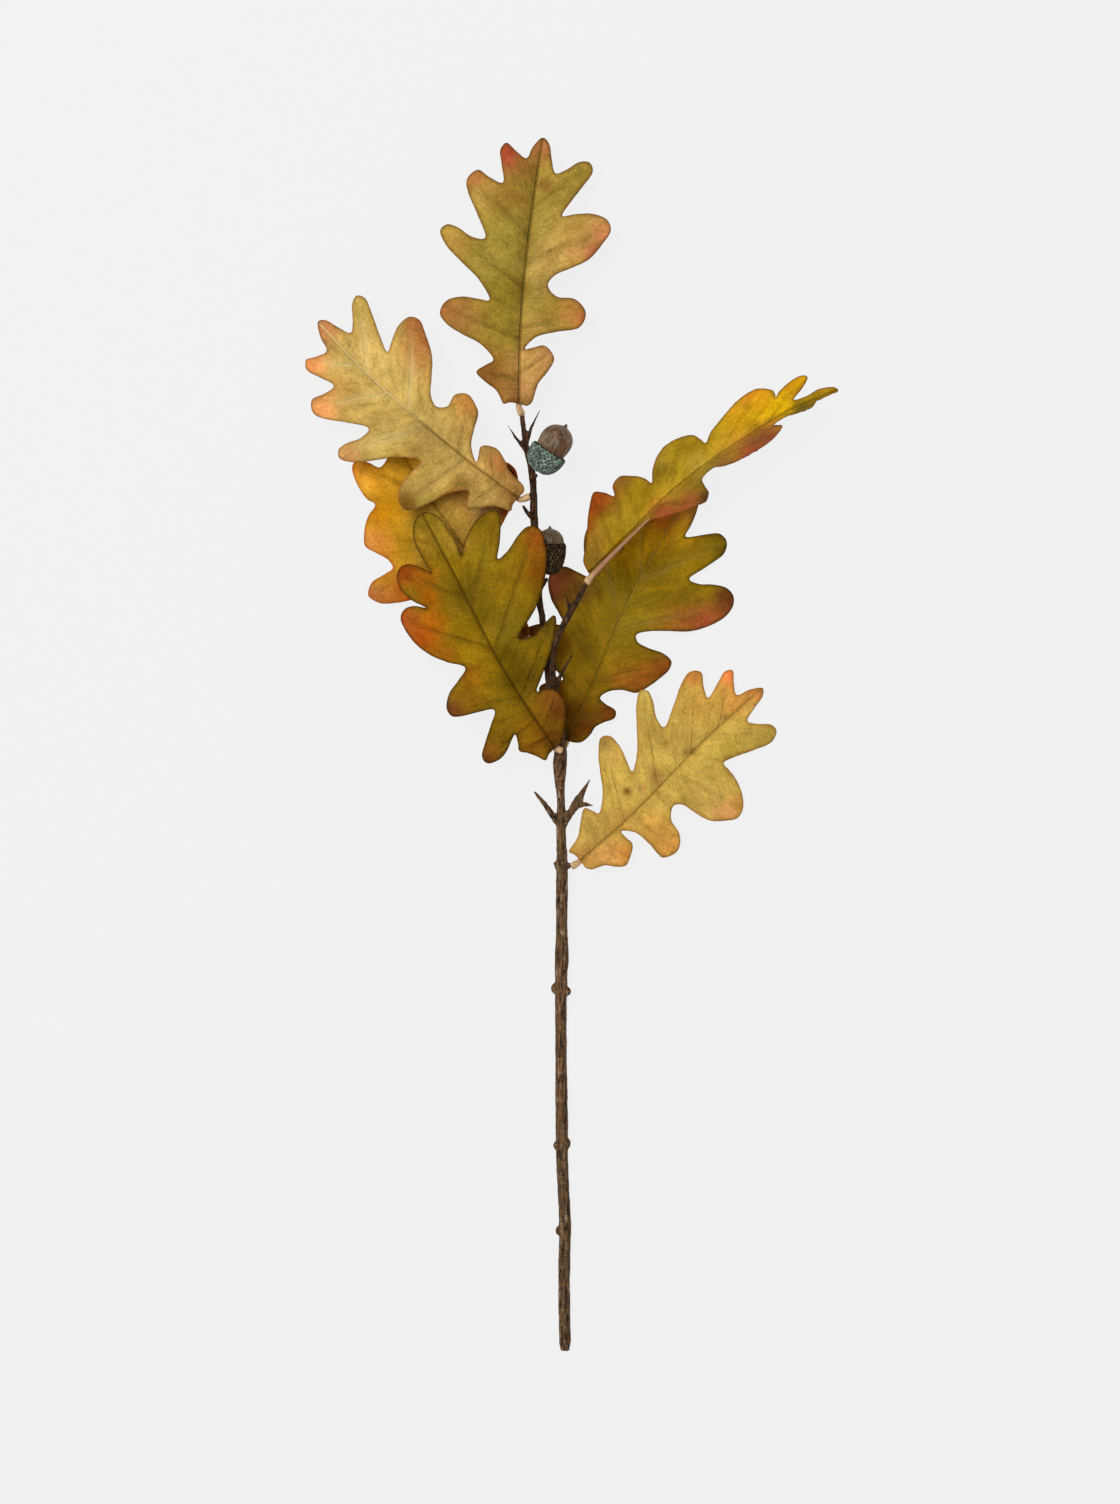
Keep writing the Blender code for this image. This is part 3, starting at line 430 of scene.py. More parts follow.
# Each leaf is cut to a pattern and formed: its midrib and the tips of its lobes are pulled to these places,
# (across, along, height), measured from the leaf's base in its own heading.
# bow is how far each half arches between the midrib and the lobe tips.
LEAVES = {
    "leaf_top": {
        "pattern": "narrow", "base": (-20.9, 470.4), "heading": 4.6, "bow": (2.5, 2.5),
        "midrib": [(-1, 0.5, 26), (-3, 30, 29), (-3.5, 62, 29), (-2.5, 95, 24), (0, 135.7, 12)],
        "left": [(-18, 131.5, 10), (-33, 113, 16), (-45, 85, 22), (-42.5, 45, 25), (-23, 15.5, 27)],
        "right": [(24, 122.5, 12), (35, 94, 20), (27, 48, 28), (12.5, 27, 30)],
    },
    "leaf_upper_left": {
        "pattern": "narrow", "base": (-18.9, 423.1), "heading": -56.5, "bow": (2, 2),
        "midrib": [(0, 3, 26), (2, 38, 31), (4.5, 62, 33), (9, 96, 29), (18.5, 135.7, 17)],
        "left": [(-1.5, 130.5, 13), (-18, 113.5, 18), (-30.5, 89, 24), (-34.5, 49.5, 27), (-18, 22, 27)],
        "right": [(39.5, 124.5, 16), (45, 96, 22), (28, 51.5, 25), (13, 29, 24)],
    },
    "leaf_rear_left": {
        "pattern": "rear", "base": (-16.5, 355), "heading": -33.5, "bow": (2, 2),
        "midrib": [(0, 2, 15), (-1, 30, 14), (-2, 62, 13), (-2, 95, 11), (-1, 131, 6)],
        "left": [(-25.5, 123, 2.6), (-42, 86, 0.9), (-54.5, 63, 0.9), (-30, 27, 7)],
        "right": [(27, 108, 6), (40.5, 77.5, 6), (17, 27, 7)],
    },
    "leaf_front_left": {
        "pattern": "broad", "base": (-2.7, 303.3), "heading": -30.4, "bow": (2.5, 1.5),
        "midrib": [(-2, -0.5, 24), (-4, 30, 31), (-4, 60, 37), (-2, 88, 41), (0, 132, 39)],
        "left": [(-23.5, 113.5, 35), (-35, 91, 31), (-38.3, 41, 26), (-35, 11, 20), (-17, 6.5, 22)],
        "right": [(30, 114.5, 45), (44, 96.5, 48), (30, 55, 27.5), (12.5, 21.5, 29)],
    },
    "leaf_right": {
        "pattern": "wide", "base": (1.5, 304.5), "heading": 28.2, "bow": (1, 2),
        "midrib": [(0, 0.5, 9.5), (-2, 32, 9.5), (-5, 62, 10), (-6, 95, 9), (-4, 141.5, 4)],
        "left": [(-24, 127, 2), (-38, 104, 2.5), (-46, 68, 3.5), (-44, 39.5, 4), (-24, 17, 7)],
        "right": [(23.3, 126, 1.2), (40.8, 100, 0.8), (27.8, 58, 4), (15, 24, 7)],
    },
    "leaf_turned": {
        "pattern": "curled", "base": (11.8, 386.8), "heading": 53.6, "bow": (3, 0.5),
        "midrib": [
            (0, 1, 41), (-3, 20, 48), (-6, 42, 53), (-9, 58, 54), (-9, 80, 54), (-8, 105, 52),
            (-6, 130, 47), (0, 154, 42),
        ],
        "left": [(-15.5, 144.5, 42), (-24, 121, 33), (-27.5, 76, 31), (-30, 42.5, 26), (-31, 27, 31)],
        "right": [(-1, 138.5, 37), (-1, 117, 30), (5, 69, 26), (-3, 27, 26)],
    },
    "leaf_lower_right": {
        "pattern": "narrow", "base": (6.9, 243.6), "heading": 42.9, "bow": (2, 2),
        "midrib": [(0, 1.5, 13), (3, 30, 16), (4, 52, 16), (4.5, 86, 12), (8.3, 127.5, 3.5)],
        "left": [(-9, 123.5, 3.5), (-21.5, 109.5, 7), (-34, 85, 14), (-33, 54.5, 17), (-16, 22.5, 15)],
        "right": [(28, 114, 1.6), (41, 75.5, 1.4), (31, 38.5, 6), (16.5, 19.5, 9)],
    },
}


def smooth_path(points, step, closed=False):
    """Points every `step` mm along a centripetal Catmull-Rom curve through `points`."""
    pts = np.asarray(points, float)
    if closed:
        ring = np.vstack([pts[-1], pts, pts[0], pts[1]])
    else:
        ring = np.vstack([2 * pts[0] - pts[1], pts, 2 * pts[-1] - pts[-2]])
    dense = []
    for p0, p1, p2, p3 in zip(ring, ring[1:], ring[2:], ring[3:]):
        gaps = [np.linalg.norm(b - a) ** 0.5 for a, b in ((p0, p1), (p1, p2), (p2, p3))]
        knots = np.cumsum([0.0] + [max(gap, TINY) for gap in gaps])
        for u in np.linspace(knots[1], knots[2], CURVE_SAMPLES, endpoint=False):
            a = [(knots[i + 1] - u) / (knots[i + 1] - knots[i]) for i in range(3)]
            a1, a2, a3 = (w * p + (1 - w) * q for w, p, q in zip(a, (p0, p1, p2), (p1, p2, p3)))
            w = (knots[2] - u) / (knots[2] - knots[0])
            b1 = w * a1 + (1 - w) * a2
            w = (knots[3] - u) / (knots[3] - knots[1])
            b2 = w * a2 + (1 - w) * a3
            w = (knots[2] - u) / (knots[2] - knots[1])
            dense.append(w * b1 + (1 - w) * b2)
    dense.append(pts[0] if closed else pts[-1])
    dense = np.array(dense)
    length = np.concatenate([[0], np.cumsum(np.linalg.norm(np.diff(dense, axis=0), axis=1))])
    count = max(2, round(length[-1] / step) + 1)
    at = np.linspace(0, length[-1], count)[: -1 if closed else None]
    return np.column_stack([np.interp(at, length, dense[:, k]) for k in range(pts.shape[1])])


def outline_of(pattern):
    """The pattern's edge, once round: over the apex, down the right side and up the left."""
    edge = list(pattern["apex_edge"])
    for _, _, points in pattern["right"]:
        edge += points
    for _, _, points in reversed(pattern["left"]):
        edge += points[::-1]
    return edge


def flat_blade(pattern, rim_step, inner_step):
    """(points, triangles) of the flat pattern, with the midrib as a line of edges."""
    rim = smooth_path(outline_of(pattern), rim_step, closed=True)
    top = max(y for _, y in pattern["apex_edge"])
    spine = [(0.0, y) for y in np.arange(SPINE_START, top - SPINE_END, inner_step * 0.8)]
    inner = []
    row_gap = inner_step * math.sqrt(3) / 2
    low, high = rim.min(0), rim.max(0)
    for j, y in enumerate(np.arange(low[1], high[1], row_gap)):
        for x in np.arange(low[0] + (j % 2) * inner_step / 2, high[0], inner_step):
            clear_of_rim = np.hypot(rim[:, 0] - x, rim[:, 1] - y).min() > 0.6 * inner_step
            if clear_of_rim and abs(x) > 0.45 * inner_step:
                inner.append((x, y))
    points = [Vector(p) for p in rim] + [Vector(p) for p in spine] + [Vector(p) for p in inner]
    n = len(rim)
    spine_edges = [(n + i, n + i + 1) for i in range(len(spine) - 1)]
    verts, _, faces, *_ = delaunay_2d_cdt(points, spine_edges, [list(range(n))], INSIDE_ONLY, TINY)
    used = sorted({corner for face in faces for corner in face})
    renumber = {old: new for new, old in enumerate(used)}
    return np.array([tuple(verts[i]) for i in used]), [tuple(renumber[i] for i in face) for face in faces]


def fan_of(pattern, side):
    """The side's veins, from the apex down: where each leaves the midrib and where its tip is."""
    apex = (0.0, max(y for _, y in pattern["apex_edge"]))
    roots = [pattern["apex_root"]] + [root for root, _, _ in pattern[side]]
    tips = [apex] + [tip for _, tip, _ in pattern[side]]
    return np.array(roots, float), np.array(tips, float)


def vein_coordinates(points, roots, tips):
    """For each flat point: the vein beside it (0 at the apex) and how far out along it (1 at the tip)."""
    w = np.linspace(0, len(roots) - 1, FAN_SAMPLES * (len(roots) - 1) + 1)
    index = np.arange(len(roots))
    start = np.column_stack([np.zeros(len(w)), np.interp(w, index, roots)])
    along = np.column_stack([np.interp(w, index, tips[:, 0]), np.interp(w, index, tips[:, 1])]) - start
    size = np.linalg.norm(along, axis=1)
    offset = points[:, None, :] - start[None]
    across = (along[None, :, 0] * offset[..., 1] - along[None, :, 1] * offset[..., 0]) / size
    out = (offset * along).sum(2) / size**2
    behind = out < -0.02
    best = np.where(behind, np.inf, np.abs(across)).argmin(1)
    return w[best], np.clip(out[np.arange(len(points)), best], 0, None)


def spread(values, w):
    """Values given at whole numbers, read smoothly at w."""
    values = np.asarray(values, float)
    padded = np.vstack([2 * values[0] - values[1], values, 2 * values[-1] - values[-2]])
    k = np.clip(np.floor(w).astype(int), 0, len(values) - 2)
    u = (w - k)[:, None]
    p0, p1, p2, p3 = (padded[k + i] for i in range(4))
    bend = 2 * p0 - 5 * p1 + 4 * p2 - p3
    twist = 3 * p1 - p0 - 3 * p2 + p3
    return p1 + 0.5 * ((p2 - p0) * u + bend * u**2 + twist * u**3)


def formed(leaf, flat):
    """The flat points where the formed leaf holds them: (across, along, height) in its heading, in mm."""
    pattern = PATTERNS[leaf["pattern"]]
    midrib = smooth_path(leaf["midrib"], 1.0)
    reach = np.linspace(0, 1, len(midrib))
    length = max(y for _, y in pattern["apex_edge"])

    def on_midrib(along):
        share = np.clip(np.asarray(along) / length, 0, 1)
        return np.column_stack([np.interp(share, reach, midrib[:, k]) for k in range(3)])

    result = np.zeros((len(flat), 3))
    for side, bow in zip(("left", "right"), leaf["bow"]):
        mine = flat[:, 0] >= 0 if side == "right" else flat[:, 0] < 0
        roots, tips = fan_of(pattern, side)
        w, out = vein_coordinates(flat[mine], roots, tips)
        flat_roots = np.column_stack([np.zeros(len(roots)), roots, np.zeros(len(roots))])
        root_moves = on_midrib(roots) - flat_roots
        ear = on_midrib([roots[-1]])[0] - flat_roots[-1]
        held = [leaf["midrib"][-1]] + leaf[side]
        tip_moves = np.array([np.array(h) - (t[0], t[1], 0) for h, t in zip(held, tips)] + [ear])
        u = out[:, None]
        move = spread(root_moves, w) * (1 - u) + spread(tip_moves, w) * u
        vein_length = np.interp(w, np.arange(len(roots)), np.hypot(tips[:, 0], tips[:, 1] - roots))
        arch = bow * np.clip(vein_length / LONG_VEIN, 0, 1)
        move[:, 2] += arch * 4 * out * np.clip(1 - out, 0, 1)
        result[mine] = np.column_stack([flat[mine], np.zeros(mine.sum())]) + move
    return result


def placed(leaf, points):
    """From the leaf's own heading to the spray's frame, still in mm."""
    turn = math.radians(leaf["heading"])
    x = leaf["base"][0] + points[:, 0] * math.cos(turn) + points[:, 1] * math.sin(turn)
    y = leaf["base"][1] - points[:, 0] * math.sin(turn) + points[:, 1] * math.cos(turn)
    return np.column_stack([x, y, points[:, 2]])


# Leaves, stalks and acorns are placed in mm (across, along, up) measured from beside the cut end.
# The frame's origin, the bottom centre of the whole spray, lies here in those mm.
SPRAY_ORIGIN = np.array([3.73, 302.948, 0.1])
CLOTH_THICKNESS = 0.0005
BOX_INSET = (0.0003, 0.0003, 0.0003)
MESH_RIM_STEP = 1.3
MESH_INNER_STEP = 1.5
FLAT_BY_MIDRIB = 7
PUCKER = 0.55
MIDRIB_DEPTH = 0.3
MIDRIB_HALF_WIDTH = 1.3
SLOW_WAVE = 0.8
CREASE = 0.3
# Each print with its painted light and shade: the ground colour, then washes of (across, along, radius, red,
# green, blue, strength).
PRINTS_AND_PAINTED_LIGHT = {
    # Painted shade and light: the left half is washed darker olive and the right half paler, as light falls
    # on the two halves.
    "leaf_top": ((170, 141, 60), [
        (-12, 50, 26, 146, 122, 38, 0.9), (-10, 85, 22, 152, 130, 52, 0.8), (6, 65, 11, 178, 146, 78, 0.8),
        (9, 88, 12, 170, 144, 68, 0.7), (-35, 43, 12, 170, 118, 62, 0.9), (-44, 45, 6, 176, 100, 58, 0.7),
        (-15, 16, 12, 149, 98, 40, 0.9), (-6, 5, 10, 166, 112, 58, 0.9), (5, 10, 9, 200, 148, 88, 0.9),
        (10, 25, 9, 203, 146, 90, 0.9), (3, 40, 8, 182, 145, 74, 0.7), (22, 48, 9, 176, 122, 60, 0.9),
        (28, 45, 5, 190, 100, 62, 0.7), (-42, 83, 9, 184, 150, 66, 0.8), (-38, 78, 6, 176, 120, 66, 0.4),
        (20, 80, 10, 202, 150, 84, 0.9), (32, 92, 9, 214, 156, 94, 0.9), (30, 79, 5, 196, 96, 74, 0.75),
        (-20, 105, 9, 156, 112, 46, 0.8), (-33, 113, 8, 196, 124, 72, 0.9),
        (-16, 124, 8, 176, 80, 54, 0.95), (-8, 118, 6, 152, 96, 46, 0.7), (0, 130, 8, 186, 118, 70, 0.9),
        (22, 122, 7, 162, 134, 54, 0.8), (3, 111, 4, 124, 82, 34, 0.8), (5, 78, 3.5, 134, 96, 44, 0.5),
        (-1, 56, 3, 140, 104, 40, 0.5), (0, 22, 8, 214, 166, 96, 0.7), (0, 49, 6, 182, 154, 72, 0.6),
        (7, 76, 9, 204, 166, 90, 0.7), (-9, 58, 8, 122, 100, 26, 0.7), (-18, 12, 6, 128, 80, 38, 0.8),
        (-27, 103, 7, 190, 156, 80, 0.7), (-9, 103, 6, 132, 92, 34, 0.7), (18, 92, 8, 200, 158, 80, 0.6),
        (-24, 68, 8, 174, 150, 68, 0.6), (37, 88, 7, 222, 128, 84, 0.7), (-17, 129, 5, 168, 56, 40, 0.7),
        (0, 4, 5, 180, 128, 82, 0.7),
    ]),
    "leaf_upper_left": ((193, 160, 84), [
        (0, 8, 9, 168, 120, 66, 0.9), (-10, 18, 8, 186, 152, 80, 0.7), (10, 22, 8, 194, 130, 70, 0.9),
        (0, 30, 8, 192, 146, 78, 0.7), (-33, 47, 8, 118, 88, 24, 0.9), (-36, 51, 6, 132, 84, 40, 0.7),
        (26, 51, 8, 206, 140, 68, 0.9), (14, 46, 7, 200, 150, 78, 0.5), (12, 88, 14, 208, 174, 96, 0.7),
        (20, 104, 12, 212, 176, 100, 0.7), (-18, 70, 12, 198, 172, 98, 0.7),
        (-28, 88, 8, 192, 148, 88, 0.8), (34, 86, 9, 198, 132, 68, 0.9), (45, 92, 8, 170, 96, 48, 0.95),
        (42, 82, 6, 150, 62, 34, 0.75), (-16, 110, 8, 230, 146, 90, 0.9), (-5, 108, 8, 206, 152, 80, 0.7),
        (0, 127, 8, 242, 152, 90, 0.95), (18, 132, 8, 208, 128, 84, 0.85), (38, 120, 8, 184, 156, 78, 0.8),
        (-30, 84, 6, 214, 130, 92, 0.4), (6, 62, 10, 184, 156, 86, 0.5), (2, 47, 9, 196, 160, 92, 0.5),
        (-18, 22, 6, 190, 158, 82, 0.7), (-9, 31, 6, 128, 96, 36, 0.8), (-18, 31, 5, 168, 114, 40, 0.7),
        (-27, 40, 6, 172, 142, 60, 0.7), (-36, 49, 6, 132, 90, 16, 0.6), (-9, 58, 8, 146, 118, 54, 0.6),
        (0, 58, 7, 160, 128, 68, 0.6), (-18, 66, 7, 204, 164, 74, 0.7), (0, 4, 6, 156, 116, 48, 0.7),
        (9, 20, 6, 174, 112, 56, 0.6), (27, 76, 6, 192, 132, 74, 0.5), (45, 94, 6, 156, 90, 48, 0.5),
        (-18, 31, 5, 180, 120, 40, 0.6), (0, 31, 6, 220, 178, 102, 0.6), (-27, 40, 5, 190, 162, 72, 0.6),
        (0, 40, 6, 218, 184, 108, 0.6), (-36, 49, 5, 110, 78, 8, 0.6), (-18, 58, 6, 212, 164, 56, 0.6),
    ]),
    # Painted shade: the right lobes, tilted away from the light, are washed dark red to brown, and darker
    # washes paint the shade of the front left leaf across its middle.
    "leaf_rear_left": ((206, 148, 34), [
        (-10, 70, 24, 146, 114, 40, 0.95), (4, 74, 16, 160, 118, 44, 0.9), (-28, 77, 9, 186, 142, 14, 0.8),
        (-22, 93, 9, 206, 146, 16, 0.8), (-26, 117, 10, 232, 150, 38, 0.9),
        (-30, 122, 6, 232, 134, 50, 0.6), (-36, 82, 9, 220, 140, 52, 0.9), (-42, 85, 7, 228, 150, 80, 0.7),
        (-40, 73, 8, 196, 128, 34, 0.7), (-54, 60, 9, 186, 112, 78, 0.9), (-47, 56, 8, 202, 120, 48, 0.8),
        (-38, 55, 8, 170, 104, 34, 0.8), (19, 68, 9, 176, 138, 74, 0.8), (29, 70, 8, 158, 106, 56, 0.9),
        (37, 75, 9, 74, 28, 12, 0.95), (12, 95, 14, 150, 112, 36, 0.8), (0, 115, 16, 196, 150, 40, 0.6),
        (0, 67, 8, 204, 162, 70, 0.8), (18, 66, 7, 196, 158, 100, 0.8), (0, 77, 7, 202, 166, 70, 0.7),
        (9, 76, 7, 192, 146, 72, 0.7), (27, 76, 5, 158, 110, 54, 0.6), (-36, 49, 7, 200, 90, 16, 0.8),
        (-37, 59, 5, 164, 72, 18, 0.7), (-27, 94, 6, 184, 112, 8, 0.7), (-27, 112, 6, 250, 186, 66, 0.6),
        (39, 75, 10, 50, 15, 8, 1), (27, 60, 8, 104, 36, 18, 0.9), (0, 22, 9, 96, 74, 10, 0.6),
        (4, 6, 9, 70, 40, 14, 0.8), (-36, 49, 6, 196, 84, 18, 0.6),
    ]),
    # Painted shadow: a dark band of washes runs along the middle of the midrib.
    "leaf_front_left": ((137, 106, 14), [
        (0, 3, 8, 104, 58, 12, 0.9), (-12, 6, 9, 122, 74, 14, 0.9), (10, 22, 9, 138, 80, 26, 0.9),
        (-3, 16, 8, 120, 78, 12, 0.7), (-32, 12, 8, 140, 78, 26, 0.8), (-35, 11, 4, 96, 52, 26, 0.7),
        (-20, 16, 8, 126, 92, 16, 0.6), (6, 34, 9, 102, 78, 10, 0.8), (-36, 40, 8, 116, 64, 30, 0.9),
        (-24, 42, 8, 144, 94, 16, 0.6), (-9, 50, 10, 152, 117, 10, 0.7), (26, 53, 8, 122, 94, 26, 0.7),
        (-14, 68, 12, 150, 114, 10, 0.7), (8, 62, 10, 138, 113, 24, 0.7), (-31, 80, 9, 182, 84, 16, 0.95),
        (-35, 92, 8, 186, 90, 38, 0.95), (-26, 66, 7, 166, 88, 18, 0.6), (1, 86, 9, 108, 84, 14, 0.8),
        (36, 78, 9, 150, 88, 14, 0.9), (43, 92, 8, 158, 84, 22, 0.95), (-22, 112, 8, 154, 68, 16, 0.95),
        (-15, 104, 7, 150, 82, 10, 0.8), (0, 124, 10, 144, 116, 30, 0.7), (14, 100, 8, 142, 115, 20, 0.7),
        (28, 114, 7, 128, 98, 16, 0.8), (-20, 52, 5, 150, 76, 24, 0.5), (-39, 44, 4, 84, 42, 26, 0.6),
        (-9, 13, 6, 164, 114, 12, 0.7), (9, 13, 7, 86, 36, 12, 0.8), (-1, 40, 8, 84, 62, 2, 0.8),
        (0, 50, 6, 80, 62, 2, 0.8), (0, 74, 6, 102, 80, 6, 0.6), (-18, 49, 6, 168, 114, 14, 0.6),
        (-22, 83, 7, 186, 96, 10, 0.6), (9, 112, 6, 192, 148, 60, 0.6), (8, 121, 5, 188, 148, 48, 0.5),
        (-8, 120, 6, 180, 132, 42, 0.5), (-18, 94, 6, 168, 78, 4, 0.6),
    ]),
    # Painted light: the bright washes near the tip, where the turned leaf lies over it, lift the shade it
    # casts.
    "leaf_right": ((138, 108, 12), [
        (0, 4, 7, 64, 34, 6, 0.95), (5, 11, 7, 98, 48, 8, 0.9), (12, 23, 8, 114, 56, 16, 0.95),
        (-5, 25, 9, 120, 86, 8, 0.7), (3, 32, 7, 110, 78, 10, 0.5), (18, 42, 7, 142, 76, 30, 0.9),
        (26, 56, 8, 140, 66, 28, 0.95), (-12, 45, 10, 113, 85, 8, 0.8), (0, 52, 8, 144, 111, 16, 0.7),
        (-42, 68, 9, 130, 68, 30, 0.9), (-33, 67, 8, 112, 76, 30, 0.8), (-44, 60, 6, 150, 84, 56, 0.7),
        (-43, 38, 9, 92, 30, 16, 0.95), (6, 70, 9, 146, 114, 20, 0.6), (22, 79, 9, 160, 92, 38, 0.9),
        (32, 85, 9, 168, 82, 46, 0.95), (40, 99, 9, 132, 66, 36, 0.95), (38, 88, 6, 176, 78, 46, 0.6),
        (-10, 85, 10, 127, 99, 8, 0.7), (2, 100, 12, 134, 103, 12, 0.6), (22, 124, 8, 112, 90, 14, 0.85),
        (12, 110, 8, 146, 114, 12, 0.6), (0, 122, 10, 162, 118, 22, 0.8), (-3, 138, 8, 166, 96, 48, 0.7),
        (-9, 13, 7, 80, 30, 2, 0.9), (0, 18, 7, 84, 46, 2, 0.8), (-18, 22, 6, 120, 60, 6, 0.7),
        (-27, 40, 8, 118, 60, 4, 0.7), (9, 41, 6, 172, 90, 32, 0.6), (-36, 49, 6, 136, 102, 30, 0.6),
        (9, 50, 5, 162, 104, 20, 0.5), (18, 50, 6, 142, 60, 20, 0.7), (9, 59, 6, 104, 62, 2, 0.7),
        (-37, 67, 6, 138, 84, 20, 0.6), (-27, 72, 8, 84, 54, 18, 0.7), (-18, 94, 8, 180, 132, 4, 0.8),
        (-14, 104, 9, 188, 138, 8, 0.8), (-9, 112, 8, 200, 142, 4, 0.7), (-18, 113, 7, 180, 122, 8, 0.7),
        (-9, 121, 7, 212, 104, 34, 0.8), (-9, 131, 8, 216, 120, 32, 0.8), (0, 131, 7, 188, 118, 42, 0.7),
        (1, 121, 7, 204, 154, 20, 0.7), (36, 103, 7, 76, 38, 14, 0.7), (16, 72, 8, 176, 112, 34, 0.5),
        (-46, 66, 8, 176, 92, 62, 0.85), (-38, 76, 5, 150, 84, 44, 0.6), (-36, 52, 6, 150, 76, 22, 0.6),
        (-18, 14, 7, 150, 60, 10, 0.7), (-18, 103, 6, 176, 134, 4, 0.5), (-9, 112, 6, 190, 138, 8, 0.5),
        (0, 130, 7, 184, 120, 44, 0.5), (4, 62, 22, 150, 122, 24, 0.25), (2, 66, 14, 146, 124, 28, 0.3),
        (-4, 30, 10, 128, 94, 14, 0.4),
    ]),
    # Painted light: the lobes along the right of the midrib, which face away from the light, are washed
    # bright orange pink.
    "leaf_turned": ((174, 142, 26), [
        (-3, 8, 8, 126, 92, 36, 0.8), (-12, 14, 8, 146, 106, 38, 0.8), (-28, 24, 9, 150, 76, 24, 0.95),
        (-24, 34, 5, 164, 96, 30, 0.7), (-10, 30, 8, 160, 128, 34, 0.6), (-29, 42, 7, 148, 96, 38, 0.9),
        (-15, 45, 8, 146, 116, 12, 0.7), (-24, 60, 7, 166, 134, 52, 0.6), (-14, 60, 7, 158, 126, 34, 0.6),
        (-22, 77, 6, 142, 112, 14, 0.7), (-13, 80, 8, 164, 132, 24, 0.6), (-21, 112, 9, 218, 156, 28, 0.9),
        (-23, 121, 7, 222, 132, 40, 0.9), (-12, 112, 8, 188, 148, 14, 0.8),
        (-10, 124, 9, 214, 162, 12, 0.9), (-15, 137, 9, 212, 150, 16, 0.95),
        (-5, 140, 7, 168, 134, 24, 0.8), (-1, 150, 8, 170, 126, 28, 0.8), (1, 48, 7, 150, 90, 42, 0.95),
        (2, 60, 8, 172, 92, 58, 0.95), (4, 70, 5, 92, 58, 26, 0.9), (-3, 88, 6, 168, 110, 66, 0.9),
        (-2, 100, 8, 172, 88, 56, 0.95), (-1, 114, 8, 166, 82, 50, 0.95), (-2, 133, 5, 132, 112, 26, 0.8),
        (0, 22, 7, 162, 112, 4, 0.7), (0, 49, 8, 222, 106, 58, 0.8), (1, 59, 8, 216, 116, 56, 0.7),
        (-9, 59, 7, 206, 166, 42, 0.7), (-9, 76, 7, 190, 154, 64, 0.6), (-8, 95, 8, 208, 154, 46, 0.7),
        (-18, 103, 7, 218, 160, 18, 0.6), (-9, 121, 8, 248, 196, 14, 0.8), (-19, 120, 6, 244, 176, 20, 0.7),
        (-26, 28, 7, 158, 62, 20, 0.6), (2, 100, 8, 206, 92, 56, 0.7), (0, 116, 8, 190, 92, 60, 0.6),
        (-26, 22, 6, 160, 72, 20, 0.8), (-20, 14, 5, 160, 72, 20, 0.8), (-32, 31, 6, 160, 72, 22, 0.7),
        (-18, 31, 5, 124, 86, 26, 0.6), (0, 49, 5, 190, 112, 66, 0.4), (-18, 58, 6, 122, 96, 10, 0.6),
    ]),
    "leaf_lower_right": ((204, 170, 80), [
        (0, 5, 7, 186, 132, 66, 0.9), (8, 14, 8, 222, 158, 84, 0.9), (-6, 16, 7, 198, 162, 82, 0.6),
        (-14, 20, 8, 178, 146, 70, 0.9), (14, 20, 6, 206, 132, 58, 0.9), (2, 30, 9, 206, 158, 78, 0.8),
        (-33, 54, 7, 156, 122, 60, 0.85), (28, 38, 8, 220, 152, 72, 0.95), (16, 40, 8, 214, 160, 76, 0.9),
        (-31, 82, 8, 184, 152, 70, 0.7), (-34, 87, 5, 206, 180, 96, 0.8), (26, 68, 9, 204, 168, 84, 0.7),
        (39, 76, 7, 200, 142, 70, 0.85), (38, 68, 5, 222, 140, 98, 0.8), (-8, 98, 9, 202, 148, 66, 0.7),
        (-21, 109, 7, 196, 124, 56, 0.9), (28, 110, 8, 176, 148, 66, 0.9), (-8, 122, 8, 236, 124, 70, 0.95),
        (2, 112, 8, 220, 150, 70, 0.8), (8, 125, 7, 212, 130, 66, 0.9), (0, 84, 10, 198, 162, 78, 0.5),
        (4, 80.5, 2.2, 122, 92, 30, 0.8), (1.5, 77.5, 1.8, 150, 104, 60, 0.7),
        (-8.3, 74.5, 1.6, 126, 92, 34, 0.7), (-6.5, 43.8, 2.2, 112, 72, 16, 0.95),
        (-1.5, 59, 3.4, 172, 116, 68, 0.8), (22.5, 38.5, 2, 150, 104, 40, 0.7),
        (17, 59.5, 1.6, 150, 110, 44, 0.7), (4, 104, 1.6, 140, 100, 40, 0.6),
        (-22, 51.5, 2.6, 186, 130, 78, 0.6), (-2, 50, 2.6, 180, 122, 74, 0.6),
        (6, 53.5, 1.6, 140, 104, 40, 0.6), (18, 40, 7, 232, 174, 82, 0.7), (36, 67, 6, 238, 178, 104, 0.7),
        (18, 94, 9, 210, 180, 74, 0.7), (-9, 58, 6, 178, 148, 70, 0.6), (-27, 76, 6, 174, 146, 66, 0.6),
        (9, 13, 6, 238, 178, 100, 0.6), (-18, 76, 6, 156, 122, 54, 0.5),
    ]),
}


def print_and_painted_light_colours(name, across, along):
    """The cloth's print at each point, with painted light and shade: a ground colour with soft washes of
    other colours laid over it.
    """
    ground, washes = PRINTS_AND_PAINTED_LIGHT[name]
    colours = np.tile(np.array(daylight(*ground)), (len(across), 1))
    for x, y, spread_mm, *tint, strength in washes:
        cover = strength * np.exp(-(((across - x) ** 2 + (along - y) ** 2) / spread_mm**2) ** 1.3)
        colours += cover[:, None] * (np.array(daylight(*tint)) - colours)
    return np.clip(colours, 0, 1)


